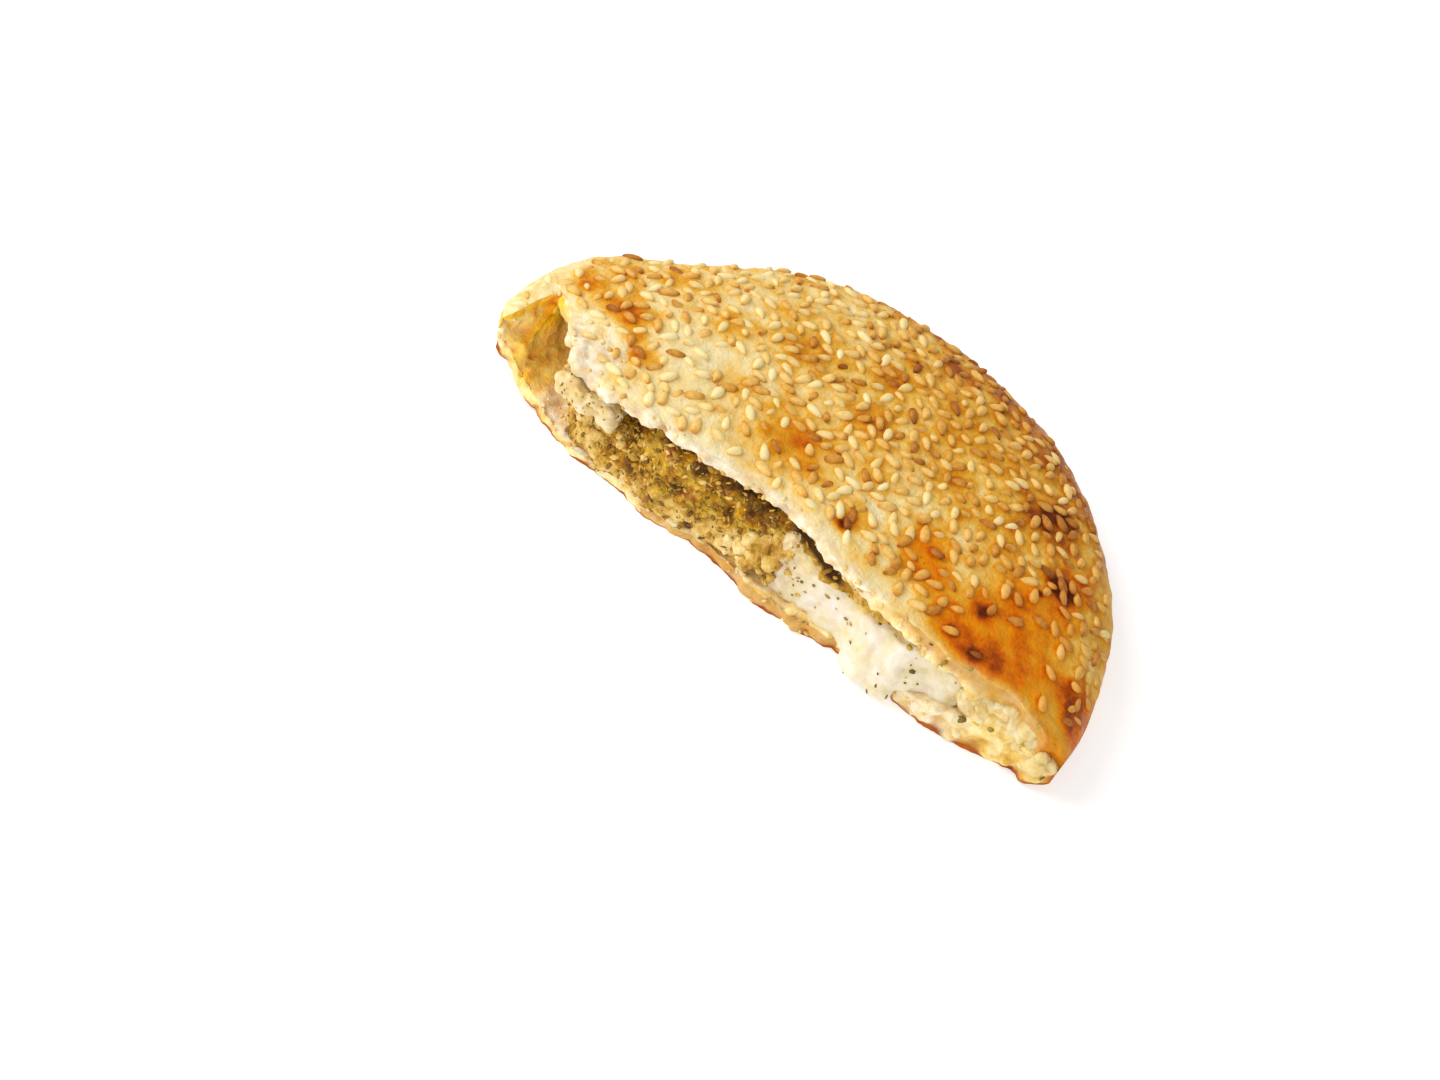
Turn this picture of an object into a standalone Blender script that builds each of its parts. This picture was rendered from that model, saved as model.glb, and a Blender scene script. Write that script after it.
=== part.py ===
"""Half of a round halloumi pie: a stuffed flatbread torn across, so that its filling shows.

The bread is one pocket of dough: a bottom crust, a rim and a domed top crust with sesame seeds.
In the pocket lie a thick layer of white cheese, a layer of za'atar over and in front of it, and
a lump of cheese under the torn corner of the top crust. The left end of the pocket is empty.

Units are metres. The torn side faces -Y, +X is to the right, and +Z is up. Shapes are first
worked out with the whole pie's centre at X 0, Y 0, and at the end the half is moved so that the
origin lies in the middle of its footprint.
"""

import math
import random

import bmesh
import bpy
import numpy as np
from mathutils import Matrix, Vector, noise

MM = 0.001

# The whole pie
PIE_RADIUS = 60 * MM
CROWN_HEIGHT = 18.9 * MM
CROWN_FALL_TO_RIGHT = 0.9 * MM
RIM_HEIGHT_RIGHT = 7.0 * MM
RIM_HEIGHT_LEFT = 9.5 * MM
FLAT_RADIUS_RIGHT = 52 * MM
FLAT_RADIUS_LEFT = 39 * MM
DOME_ROUNDNESS = 3.2
DOME_EDGE = 0.58
BACK_LEFT_FLATTENING = 0.11
RIGHT_END_FLATTENING = 0.18
BACK_RIGHT_FULLNESS = 0.022
LEFT_TIP_SET_BACK = 5 * MM
RIGHT_TIP_SAG = 0.7

# The dough. Each crust is given as (x, thickness)
TOP_CRUST = ((-60, 2.4), (-46, 2.6), (-36, 2.5), (-26, 2), (6, 2), (14, 2.8), (28, 3), (38, 4.2), (44, 6))
BOTTOM_CRUST = ((-60, 3.0), (-46, 2.4), (-38, 1.7), (-10, 1.8), (0, 2.6), (20, 2.6), (28, 3.2), (36, 4.6),
                (44, 6.5))
WAVE_HEIGHT = 0.55 * MM
WAVE_LENGTH = 15 * MM
CRAG_HEIGHT = 0.7 * MM
CRAG_LENGTH = 4.5 * MM

# Where the bread is torn: (x, y) of each edge in plan, from the left tip to the right tip
TOP_TEAR = ((-60, 5), (-59, 2), (-57.6, -1), (-56.4, 2), (-55.4, 6.5), (-53.4, 10), (-50, 6.5), (-46.5, 1.5),
            (-42, -3.5), (-36, -5), (-20, -5), (-10, -3.4), (-1, -2.7), (6, -3.9), (12, -6), (22, -6.6),
            (36, -6.8), (42, -5.4), (48, -3.4), (55, -3.2), (60, -1.6))
BOTTOM_TEAR = ((-60, 6), (-58.5, 3), (-57, 0.2), (-54.5, 0.4), (-50.5, -1), (-43, -3.4), (-36, -5.2),
               (-26, -5.2), (-20, -6.6), (-16, -5.8), (-8, -5.2), (-3, -6), (3, -7.4), (12, -7), (18, -5.4),
               (25, -5.6), (32, -6.4), (38, -7.2), (43, -6.2), (47, -5.3), (50.5, -4.4),
               (53.5, -3.6), (56.5, -4.6), (60, -2.6))
CREASE_DEPTH = 1.3 * MM

# The pocket inside the bread
POCKET_LEFT = -53.5 * MM
POCKET_RIGHT = 44 * MM
POCKET_WALL = 6.5 * MM

# The filling, which keeps a hair's breadth from the dough and from its neighbours
GAP = 0.3 * MM
FILL_BACK_SHARE = 0.84
EDGE_SQUARENESS = 5
CHEESE_LEFT = -33 * MM
CHEESE_RIGHT = 42.4 * MM
CHEESE_SHARE_LEFT = 0.5
CHEESE_SHARE_RIGHT = 0.77
CHEESE_SHOWS_FROM = 0 * MM
CHEESE_SET_BACK = 2.2 * MM
CHEESE_HIDDEN_FRONT = 3 * MM
CHEESE_LEAN = 1.0 * MM
BULGE_X = 25.6 * MM
BULGE_WIDTH = 6.2 * MM
BULGE_REACH = 4.6 * MM
ZAATAR_LEFT = -43 * MM
ZAATAR_RIGHT = 38 * MM
ZAATAR_LEAN = 1.5 * MM
ZAATAR_SET_BACK = 1.5 * MM
LUMP_CENTRE = Vector((-37, -1.2, 11.9)) * MM
LUMP_HALF_SIZE = Vector((6.6, 5.2, 2.5)) * MM

# Sesame seeds
SEED_COUNT = 96
SEED_LENGTH = 3.5 * MM
SEED_WIDTH = 2.1 * MM
SEED_THICKNESS = 1.25 * MM
SEED_SINK = 0.28
SEED_SPACING = 4.0 * MM
# Where the skin is bare of seeds: (x, y, half length, half width) in millimetres
BARE_PATCHES = ((43, 0, 14, 8), (-44, 3.5, 7.5, 8))
RANDOM_SEED = 7

# How finely each solid is divided: stations from end to end, and steps along each span of a section
BREAD_STATIONS = 58
BREAD_SPANS = {"dome": 15, "base": 6, "low_tear": 2, "pocket": 11, "top_tear": 2}
FILL_STATIONS = 28
FILL_AROUND = 26
LUMP_STATIONS = 10
LUMP_AROUND = 12


def remove_everything():
    for obj in list(bpy.data.objects):
        bpy.data.objects.remove(obj, do_unlink=True)


def mix(a, b, share):
    return a + (b - a) * share


def smooth_step(low, high, value):
    share = np.clip((value - low) / (high - low), 0, 1)
    return share * share * (3 - 2 * share)


def bell(value, centre, width):
    return np.exp(-(((value - centre) / width) ** 2))


def waviness(x, y, length, layer=0.0):
    """Smooth noise from -1 to 1 at points (x, y), with waves about this long."""
    flat = zip(np.ravel(x) / length, np.ravel(y) / length)
    return np.array([noise.noise(Vector((a, b, layer))) for a, b in flat]).reshape(np.shape(x))


# Form of the whole pie

def half_chord(x):
    """Half the pie's width in Y at station x, before any wobble."""
    return np.sqrt(np.maximum(PIE_RADIUS**2 - x**2, 0))


def wobble(x):
    """How far the baked outline leaves a true circle along its back."""
    flatter_left = BACK_LEFT_FLATTENING * bell(x, -45 * MM, 15 * MM)
    flatter_right = RIGHT_END_FLATTENING * bell(x, 59 * MM, 3.5 * MM)
    return 1 + BACK_RIGHT_FULLNESS * bell(x, 28 * MM, 16 * MM) - flatter_left - flatter_right


def tip_shift(x):
    """The left tip of the half lies further back than the pie's centre line."""
    return LEFT_TIP_SET_BACK * smooth_step(-44 * MM, -60 * MM, x)


def rim_back(x):
    return half_chord(x) * wobble(x) + tip_shift(x)


def rim_share(x, y):
    """0 at the pie's centre and 1 on its rim."""
    across = y - tip_shift(x)
    return np.minimum(np.hypot(x, np.where(across > 0, across / wobble(x), across)) / PIE_RADIUS, 1)


def leftness(x, y):
    return (1 - np.cos(np.arctan2(y, x))) / 2


def rim_height(x, y):
    return mix(RIM_HEIGHT_RIGHT, RIM_HEIGHT_LEFT, leftness(x, y))


def top_height(x, y):
    """The domed upper skin."""
    share = rim_share(x, y)
    rim = rim_height(x, y)
    crown = CROWN_HEIGHT - CROWN_FALL_TO_RIGHT * x / PIE_RADIUS
    waves = WAVE_HEIGHT * (waviness(x, y, WAVE_LENGTH) + 0.5 * waviness(x, y, WAVE_LENGTH / 2, 3.0))
    return rim + (crown - rim) * (1 - share**DOME_ROUNDNESS) ** DOME_EDGE + waves * (1 - share**6)


def base_height(x, y):
    """The underside: flat in the middle and rolled up to the rim. The right tip sags at its front."""
    flat = mix(FLAT_RADIUS_RIGHT, FLAT_RADIUS_LEFT, leftness(x, y)) / PIE_RADIUS
    roll = np.clip((rim_share(x, y) - flat) / (1 - flat), 0, 1)
    sagging = RIGHT_TIP_SAG * bell(x, 60 * MM, 7 * MM) * bell(y, -4 * MM, 5 * MM)
    return rim_height(x, y) * (1 - np.sqrt(1 - roll**2)) * (1 - sagging)


def crust_limit(x, y):
    """The most that one crust may take of the bread's height, near the thin tips."""
    return 0.42 * (top_height(x, y) - base_height(x, y))


def read_line(points, x):
    """Value at station x of a line given as points (x, value) in millimetres."""
    along, values = np.array(points).T * MM
    return np.interp(x, along, values)


def pocket_ceiling(x, y):
    return top_height(x, y) - np.minimum(read_line(TOP_CRUST, x), crust_limit(x, y))


def pocket_floor(x, y):
    return base_height(x, y) + np.minimum(read_line(BOTTOM_CRUST, x), crust_limit(x, y))


def tear_line(points, x):
    """Y of a torn edge at station x, held inside the pie's own outline."""
    chord, shift = half_chord(x), tip_shift(x)
    return np.clip(read_line(points, x), shift - 0.97 * chord, shift + 0.97 * chord)


def pocket_depth(x, front):
    """How far the pocket runs back from the front at station x. It is 0 in the solid ends."""
    centre = (POCKET_LEFT + POCKET_RIGHT) / 2
    reach = (POCKET_RIGHT - POCKET_LEFT) / 2
    across = np.clip(1 - ((x - centre) / reach) ** 2, 0, 1) ** 0.5
    back = (PIE_RADIUS - POCKET_WALL) * across
    return np.where(across > 0, np.maximum(back - np.maximum(front, 0), 0), 0) * smooth_step(0, 0.25, across)


# Bread

def span_of(step, spans):
    """Which span of the section each step lies on, as an index, and how far along it, from 0 to 1."""
    ends = np.cumsum(list(spans.values()))
    index = np.minimum(np.searchsorted(ends, step, side="right"), len(ends) - 1)
    counts = np.array(list(spans.values()))
    return index, (step - (ends - counts)[index]) / counts[index]


def bread_point(station, around):
    """Point of the bread's surface. station runs from the left tip to the right tip, and around goes
    over the dome, back along the base, up the lower tear, round the pocket and up the upper tear."""
    x = PIE_RADIUS * mix(2 * station - 1, -np.cos(math.pi * station), 0.7) * 0.9995
    index, share = span_of(np.round(around * sum(BREAD_SPANS.values()), 6), BREAD_SPANS)
    front_top = tear_line(TOP_TEAR, x)
    front_low = tear_line(BOTTOM_TEAR, x)
    back = rim_back(x)
    eased = mix(share, np.sin(math.pi / 2 * share), 0.7)
    eased_back = 1 - mix(1 - share, np.sin(math.pi / 2 * (1 - share)), 0.7)

    dome_y = mix(front_top, back, eased)
    base_y = mix(back, front_low, eased_back)
    depth = pocket_depth(x, front_top)
    openness = np.clip(depth / (6 * MM), 0, 1)
    climb = mix(share, smooth_step(0.32, 0.68, share), openness)
    pocket_y = mix(front_low, front_top, climb) + depth * np.sin(math.pi * share) ** 0.55
    pocket_y = np.minimum(pocket_y, mix(front_low, back, 0.9))
    pocket_z = mix(pocket_floor(x, pocket_y), pocket_ceiling(x, pocket_y), climb)
    low_tear_z = mix(base_height(x, front_low), pocket_floor(x, front_low), share)
    top_tear_z = mix(pocket_ceiling(x, front_top), top_height(x, front_top), share)

    y = np.choose(index, [dome_y, base_y, front_low, pocket_y, front_top])
    z = np.choose(index, [top_height(x, dome_y), base_height(x, base_y), low_tear_z, pocket_z, top_tear_z])
    crag = CRAG_HEIGHT * waviness(x + z, y - z, CRAG_LENGTH, 9.0)
    torn = np.choose(index, [0, 0, 0.5, 0.6, 1.0]) * smooth_step(0, 0.08, 1 - np.abs(2 * station - 1))
    crease = CREASE_DEPTH * smooth_step(46 * MM, 54 * MM, x) * bell(climb, 0.62, 0.14) * (index == 3)
    return np.stack([x, y + crag * torn + crease, z], axis=-1)


def formed_sphere(name, stations, around, point):
    """A UV sphere whose rings become cross-sections: point(station, around) says where each vertex goes."""
    shape = bmesh.new()
    bmesh.ops.create_uvsphere(shape, u_segments=around, v_segments=stations, radius=1)
    start = np.array([vert.co for vert in shape.verts])
    station = np.arccos(np.clip(start[:, 2], -1, 1)) / math.pi
    turn = np.arctan2(start[:, 1], start[:, 0]) / (2 * math.pi) % 1
    turn[turn > 1 - 0.25 / around] = 0
    for vert, place in zip(shape.verts, point(station, turn)):
        vert.co = place
    shape.normal_update()
    bmesh.ops.recalc_face_normals(shape, faces=shape.faces)
    mesh = bpy.data.meshes.new(name)
    shape.to_mesh(mesh)
    shape.free()
    return bpy.data.objects.new(name, mesh)


# Sesame seeds

def skin_normal(x, y):
    step = 0.8 * MM
    slope_x = (top_height(x + step, y) - top_height(x - step, y)) / (2 * step)
    slope_y = (top_height(x, y + step) - top_height(x, y - step)) / (2 * step)
    return Vector((-float(slope_x), -float(slope_y), 1)).normalized()


def seed_density(x, y):
    """How thickly the seeds lie, from 0 to 1. The browned front right and the torn front left stay bare."""
    bare = 0
    for centre_x, centre_y, half_length, half_width in BARE_PATCHES:
        away = ((x - centre_x * MM) / half_length) ** 2 + ((y - centre_y * MM) / half_width) ** 2
        bare = max(bare, math.exp(-((away / MM**2) ** 2)))
    return 1 - 0.98 * bare


def seed_places(count):
    """Places (x, y, turn, size) of the seeds, spread by seeded draws that keep a distance."""
    draw = random.Random(RANDOM_SEED)
    places = []
    while len(places) < count:
        angle = draw.uniform(-0.12, math.pi + 0.12)
        radius = PIE_RADIUS * 0.965 * math.sqrt(draw.random())
        x, y = radius * math.cos(angle), radius * math.sin(angle)
        turn, size, chance = draw.uniform(0, math.pi), draw.uniform(0.88, 1.12), draw.random()
        clear_of_tear = y > float(tear_line(TOP_TEAR, np.array(x))) + 0.7 * SEED_LENGTH
        spaced = all(math.hypot(x - p[0], y - p[1]) > SEED_SPACING for p in places)
        if clear_of_tear and spaced and chance < seed_density(x, y):
            places.append((x, y, turn, size))
    return places


def make_seed(name, x, y, turn, size):
    """One plump, pointed seed, sunk a little into the skin and lying along it."""
    normal = skin_normal(x, y)
    shape = bmesh.new()
    bmesh.ops.create_uvsphere(shape, u_segments=6, v_segments=4, radius=0.5)
    for vert in shape.verts:
        across, up, along = vert.co
        taper = 1 - 0.45 * (along + 0.5)
        vert.co = (along * SEED_LENGTH, across * SEED_WIDTH * taper, up * SEED_THICKNESS)
    lie = normal.to_track_quat("Z", "Y").to_matrix() @ Matrix.Rotation(turn, 3, "Z")
    rise = normal * SEED_THICKNESS * (0.5 - SEED_SINK)
    place = Vector((x, y, float(top_height(np.array(x), np.array(y))))) + rise
    bmesh.ops.transform(shape, matrix=Matrix.Translation(place) @ (lie * size).to_4x4(), verts=shape.verts)
    mesh = bpy.data.meshes.new(name)
    shape.to_mesh(mesh)
    shape.free()
    return bpy.data.objects.new(name, mesh)


def fuse(obj, pieces, solver="EXACT"):
    """Joins the pieces to obj by one Boolean union, applies it and removes the pieces."""
    joined = bpy.data.collections.new("pieces to fuse")
    bpy.context.scene.collection.children.link(joined)
    for piece in pieces:
        joined.objects.link(piece)
    union = obj.modifiers.new("fuse", "BOOLEAN")
    union.operation = "UNION"
    union.operand_type = "COLLECTION"
    union.collection = joined
    union.solver = solver
    graph = bpy.context.evaluated_depsgraph_get()
    fused = bpy.data.meshes.new_from_object(obj.evaluated_get(graph))
    obj.modifiers.clear()
    obj.data = fused
    for piece in list(joined.objects):
        bpy.data.objects.remove(piece, do_unlink=True)
    bpy.data.collections.remove(joined)


# Filling

def fill_back(x):
    """Y of the filling's back at station x, a little short of the pocket's own back wall."""
    front = tear_line(TOP_TEAR, x)
    return tear_line(BOTTOM_TEAR, x) + FILL_BACK_SHARE * pocket_depth(x, front)


def showing(x):
    """0 where the cheese lies hidden behind the za'atar and 1 where it shows in the torn side."""
    return smooth_step(CHEESE_SHOWS_FROM - 8 * MM, CHEESE_SHOWS_FROM + 4 * MM, x)


def cheese_front(x):
    """Y of the cheese's front: hidden on the left, close to the torn edge on the right, with one bulge."""
    set_back = mix(CHEESE_SET_BACK, 0.5 * MM, smooth_step(10 * MM, 18 * MM, x))
    bulge = np.exp(-(((x - BULGE_X) / BULGE_WIDTH) ** 4))
    shown = tear_line(BOTTOM_TEAR, x) + set_back - BULGE_REACH * bulge
    return mix(CHEESE_HIDDEN_FRONT, shown, showing(x))


def cheese_top(x, y):
    """Full height at the front on the right. On the left it rises slowly under the za'atar."""
    rising = mix(0.12, CHEESE_SHARE_LEFT, smooth_step(0, 16 * MM, y - cheese_front(x)))
    share = mix(rising, CHEESE_SHARE_RIGHT, showing(x))
    return mix(pocket_floor(x, y), pocket_ceiling(x, y), share)


def fill_section(station, around, left, right, front, back, low, high, lean=0.0):
    """Point of a layer between two heights. Its section is a box with rounded edges whose front leans
    back by this much, and both its ends are rounded off."""
    x = mix(left, right, mix(station, (1 - np.cos(math.pi * station)) / 2, 0.6))
    depth, height = -np.cos(2 * math.pi * around), np.sin(2 * math.pi * around)
    norm = (np.abs(depth) ** EDGE_SQUARENESS + np.abs(height) ** EDGE_SQUARENESS) ** (1 / EDGE_SQUARENESS)
    depth, height = depth / norm, height / norm
    taper = np.sqrt(np.clip(1 - np.abs(2 * station - 1) ** 8, 0, 1))
    front_y = front(x) + lean * (height + 1) / 2
    middle_y = (front_y + back(x)) / 2
    y = mix(front_y, back(x), ((depth + 1) / 2) ** 1.7)
    y = middle_y + (y - middle_y) * taper
    middle_z = (low(x, y) + high(x, y)) / 2
    z = middle_z + (high(x, y) - low(x, y)) / 2 * height * taper
    return np.stack([x, y, z], axis=-1)


def cheese_point(station, around):
    def low(x, y):
        over_edge = smooth_step(-1.2 * MM, -2.6 * MM, y - tear_line(BOTTOM_TEAR, x))
        return mix(pocket_floor(x, y) + 3 * GAP, 0.4 * MM, over_edge)

    def high(x, y):
        droop = 1 - 0.35 * smooth_step(-0.5 * MM, -4 * MM, y - tear_line(BOTTOM_TEAR, x))
        return cheese_top(x, y) * droop

    front = cheese_front
    return fill_section(station, around, CHEESE_LEFT, CHEESE_RIGHT, front, fill_back, low, high, CHEESE_LEAN)


def zaatar_front(x):
    in_front = tear_line(BOTTOM_TEAR, x) + 0.5 * MM
    on_top = tear_line(TOP_TEAR, x) + ZAATAR_SET_BACK
    return mix(in_front, on_top, showing(x))


def zaatar_low(x, y):
    """Za'atar lies on the pocket's floor in front of the cheese, and on the cheese behind its front."""
    rise = smooth_step(-4.5 * MM, -0.8 * MM, y - cheese_front(x))
    inside = smooth_step(CHEESE_LEFT - 3 * MM, CHEESE_LEFT + 2 * MM, x)
    return mix(pocket_floor(x, y) + 2 * GAP, cheese_top(x, y) + 3 * GAP, rise * inside)


def zaatar_high(x, y):
    """It almost fills the pocket, except under the lump of cheese."""
    below_lump = LUMP_CENTRE.z - LUMP_HALF_SIZE.z - 1.5 * GAP
    beside = np.hypot(x - LUMP_CENTRE.x, (y - LUMP_CENTRE.y) * 0.8) / LUMP_HALF_SIZE.x
    ceiling = pocket_ceiling(x, y) - 3 * GAP
    top = mix(np.minimum(below_lump, ceiling), ceiling, smooth_step(1.0, 2.2, beside))
    return np.maximum(top, zaatar_low(x, y) + 0.8 * MM)


def zaatar_point(station, around):
    front, low, high = zaatar_front, zaatar_low, zaatar_high
    return fill_section(station, around, ZAATAR_LEFT, ZAATAR_RIGHT, front, fill_back, low, high, ZAATAR_LEAN)


def lump_point(station, around):
    """A rounded lump with an uneven skin."""
    tilt, turn = math.pi * station, 2 * math.pi * around
    unit = np.stack([-np.cos(tilt), np.sin(tilt) * np.cos(turn), np.sin(tilt) * np.sin(turn)], axis=-1)
    uneven = 1 + 0.1 * np.sin(5 * unit[:, 0] + 2 * unit[:, 1]) - 0.08 * np.cos(6 * unit[:, 1] - unit[:, 2])
    return np.array(LUMP_CENTRE) + unit * np.array(LUMP_HALF_SIZE) * uneven[:, None]


# Materials and assembly

def make_material(name, colour, roughness):
    material = bpy.data.materials.new(name)
    material.use_nodes = True
    shader = material.node_tree.nodes["Principled BSDF"]
    shader.inputs["Base Color"].default_value = (*colour, 1)
    shader.inputs["Roughness"].default_value = roughness
    shader.inputs["Metallic"].default_value = 0
    return material


def smooth_shade(obj, sharp_degrees=50):
    obj.data.shade_smooth()
    obj.data.set_sharp_from_angle(angle=math.radians(sharp_degrees))


def centre_on_footprint(objects):
    """Moves all the meshes so that the origin is the middle of the footprint, at the base."""
    points = np.array([vert.co for obj in objects for vert in obj.data.vertices])
    low, high = points.min(axis=0), points.max(axis=0)
    move = Vector((-(low[0] + high[0]) / 2, -(low[1] + high[1]) / 2, -low[2]))
    for obj in objects:
        obj.data.transform(Matrix.Translation(move))


def main():
    remove_everything()
    pie = bpy.data.collections.new("halloumi pie")
    bpy.context.scene.collection.children.link(pie)

    bread = formed_sphere("bread", BREAD_STATIONS, sum(BREAD_SPANS.values()), bread_point)
    cheese = formed_sphere("cheese", FILL_STATIONS, FILL_AROUND, cheese_point)
    zaatar = formed_sphere("zaatar", FILL_STATIONS, FILL_AROUND, zaatar_point)
    lump = formed_sphere("cheese_lump", LUMP_STATIONS, LUMP_AROUND, lump_point)
    solids = (bread, cheese, zaatar, lump)
    for obj in solids:
        pie.objects.link(obj)
    seeds = [make_seed(f"seed_{n}", *place) for n, place in enumerate(seed_places(SEED_COUNT))]
    fuse(bread, seeds)
    centre_on_footprint(solids)

    bread.data.materials.append(make_material("baked dough", (0.80, 0.52, 0.22), 0.6))
    cheese.data.materials.append(make_material("halloumi", (0.90, 0.86, 0.72), 0.4))
    zaatar.data.materials.append(make_material("za'atar", (0.30, 0.27, 0.06), 0.8))
    lump.data.materials.append(cheese.data.materials[0])
    for obj in solids:
        smooth_shade(obj)


main()
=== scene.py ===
"""One half of a halloumi pie, torn across: seeded flatbread over soft white cheese and za'atar."""
import math
import random
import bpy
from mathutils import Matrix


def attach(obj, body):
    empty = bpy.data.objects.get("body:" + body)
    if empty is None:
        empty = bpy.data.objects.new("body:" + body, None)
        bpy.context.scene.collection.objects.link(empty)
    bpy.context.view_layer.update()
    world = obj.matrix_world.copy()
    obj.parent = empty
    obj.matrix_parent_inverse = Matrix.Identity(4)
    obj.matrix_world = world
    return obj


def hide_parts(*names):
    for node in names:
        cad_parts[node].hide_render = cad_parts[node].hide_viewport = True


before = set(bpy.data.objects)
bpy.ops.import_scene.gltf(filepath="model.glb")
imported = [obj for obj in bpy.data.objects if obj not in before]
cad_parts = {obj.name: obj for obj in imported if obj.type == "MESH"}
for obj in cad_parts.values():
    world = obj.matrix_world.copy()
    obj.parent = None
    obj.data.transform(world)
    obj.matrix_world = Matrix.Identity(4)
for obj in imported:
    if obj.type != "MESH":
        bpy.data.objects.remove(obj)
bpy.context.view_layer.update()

from types import SimpleNamespace

import bmesh
import bpy
import numpy as np
from mathutils import Matrix, Vector, kdtree, noise

MM = 0.001

# The half pie lies this far from the place where it would be in the whole pie
HALF_MOVE = Vector((0, -25.182, 0)) * MM

# Form of the whole pie, as its solids have it
PIE_RADIUS = 60 * MM
CROWN_HEIGHT = 18.9 * MM
CROWN_FALL_TO_RIGHT = 0.9 * MM
RIM_HEIGHT_RIGHT = 7.0 * MM
RIM_HEIGHT_LEFT = 9.5 * MM
FLAT_RADIUS_RIGHT = 52 * MM
FLAT_RADIUS_LEFT = 39 * MM
DOME_ROUNDNESS = 3.2
DOME_EDGE = 0.58
BACK_LEFT_FLATTENING = 0.11
RIGHT_END_FLATTENING = 0.18
BACK_RIGHT_FULLNESS = 0.022
LEFT_TIP_SET_BACK = 5 * MM
RIGHT_TIP_SAG = 0.7

# The dough. Each crust is given as (x, thickness) in millimetres, and CRUST_LIMIT is the most of the
# bread's height that it takes up
TOP_CRUST = ((-60, 2.4), (-46, 2.6), (-36, 2.5), (-26, 2), (6, 2), (14, 2.8), (28, 3), (38, 4.2), (44, 6))
BOTTOM_CRUST = ((-60, 3.0), (-46, 2.4), (-38, 1.7), (-10, 1.8), (0, 2.6), (20, 2.6), (28, 3.2), (36, 4.6),
                (44, 6.5))
CRUST_LIMIT = 0.42
WAVE_HEIGHT = 0.55 * MM
WAVE_LENGTH = 15 * MM
CRAG_HEIGHT = 0.7 * MM
CRAG_LENGTH = 4.5 * MM

# Where the bread is torn: (x, y) of each edge in plan, from the left tip to the right tip
TOP_TEAR = ((-60, 5), (-59, 2), (-57.6, -1), (-56.4, 2), (-55.4, 6.5), (-53.4, 10), (-50, 6.5), (-46.5, 1.5),
            (-42, -3.5), (-36, -5), (-20, -5), (-10, -3.4), (-1, -2.7), (6, -3.9), (12, -6), (22, -6.6),
            (36, -6.8), (42, -5.4), (48, -3.4), (55, -3.2), (60, -1.6))
BOTTOM_TEAR = ((-60, 6), (-58.5, 3), (-57, 0.2), (-54.5, 0.4), (-50.5, -1), (-43, -3.4), (-36, -5.2),
               (-26, -5.2), (-20, -6.6), (-16, -5.8), (-8, -5.2), (-3, -6), (3, -7.4), (12, -7), (18, -5.4),
               (25, -5.6), (32, -6.4), (38, -7.2), (43, -6.2), (47, -5.3), (50.5, -4.4),
               (53.5, -3.6), (56.5, -4.6), (60, -2.6))
CREASE_DEPTH = 1.3 * MM
# How far out a torn edge may run, as a share of the half chord
TEAR_REACH = 0.97
# Small teeth of the torn edges: (height, length) in millimetres
TEETH = ((0.5, 2.6), (0.3, 1.1))

# The pocket inside the bread. It is fully open where it is OPEN_DEPTH deep or more
POCKET_LEFT = -53.5 * MM
POCKET_RIGHT = 44 * MM
POCKET_WALL = 6.5 * MM
POCKET_ROUNDNESS = 0.55
POCKET_REACH = 0.9
OPEN_DEPTH = 6 * MM

# The filling, which clings to the dough
CLING = 0.9 * MM
FILL_BACK_SHARE = 0.84
EDGE_SQUARENESS = 5
END_SQUARENESS = 8
CHEESE_LEFT = -33 * MM
CHEESE_RIGHT = 42.4 * MM
CHEESE_SHARE_FRONT = 0.12
CHEESE_SHARE_LEFT = 0.5
CHEESE_SHARE_RIGHT = 0.77
CHEESE_SHOWS_FROM = 0 * MM
CHEESE_SET_BACK = 2.2 * MM
CHEESE_SET_BACK_RIGHT = 0.5 * MM
CHEESE_HIDDEN_FRONT = 3 * MM
CHEESE_LEAN = 1.0 * MM
CHEESE_SWELL_RIGHT = 1.6 * MM
CHEESE_DROOP = 0.35
CHEESE_ABOVE_TABLE = 0.4 * MM
BULGE_X = 25.6 * MM
BULGE_WIDTH = 6.2 * MM
BULGE_REACH = 4.6 * MM
ZAATAR_LEFT = -43 * MM
ZAATAR_RIGHT = 38 * MM
ZAATAR_LEAN = 1.5 * MM
ZAATAR_SET_BACK = 0.5 * MM
ZAATAR_THINNEST = 0.8 * MM
LUMP_CENTRE = Vector((-37, -1.2, 11.9)) * MM
LUMP_HALF_SIZE = Vector((6.6, 5.2, 2.5)) * MM

# Sesame seeds: the large ones keep a distance, and the rest tilt and fill in between. SEED_SINK is how
# much of a large seed's thickness is sunk, and the two reaches are shares of the pie's radius
SEED_LENGTH = 3.5 * MM
SEED_WIDTH = 2.1 * MM
SEED_THICKNESS = 1.25 * MM
SEED_TAPER = 0.45
SEED_SINK = 0.28
SEED_TILT = 0.2
FIRST_SEEDS = 96
FIRST_SPACING = 4.0 * MM
MORE_SEEDS = 500
MORE_SPACING = 2.15 * MM
SEEDS_REACH = 0.965
MORE_SEEDS_REACH = 0.985
CLEAR_OF_TEAR = 0.7 * SEED_LENGTH
# How toasted a seed is: the spread, and the share of seeds that are much more toasted
TOAST_SPREAD = 0.12
DARK_SEED_SHARE = 0.09
# Single seeds on the right rim: (x, y) in millimetres and the turn
RIM_SEEDS = ((57.4, 4.5, 1.9), (56.8, 9.5, 1.2), (55.8, 14.5, 0.3), (54.2, 19.6, 2.2), (52.4, 23.4, 0.8))
# Where the skin is bare of seeds: (x, y, half length, half width) in millimetres
BARE_PATCHES = ((43, 0, 14, 8), (-44, 3.5, 7.5, 8))
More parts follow.
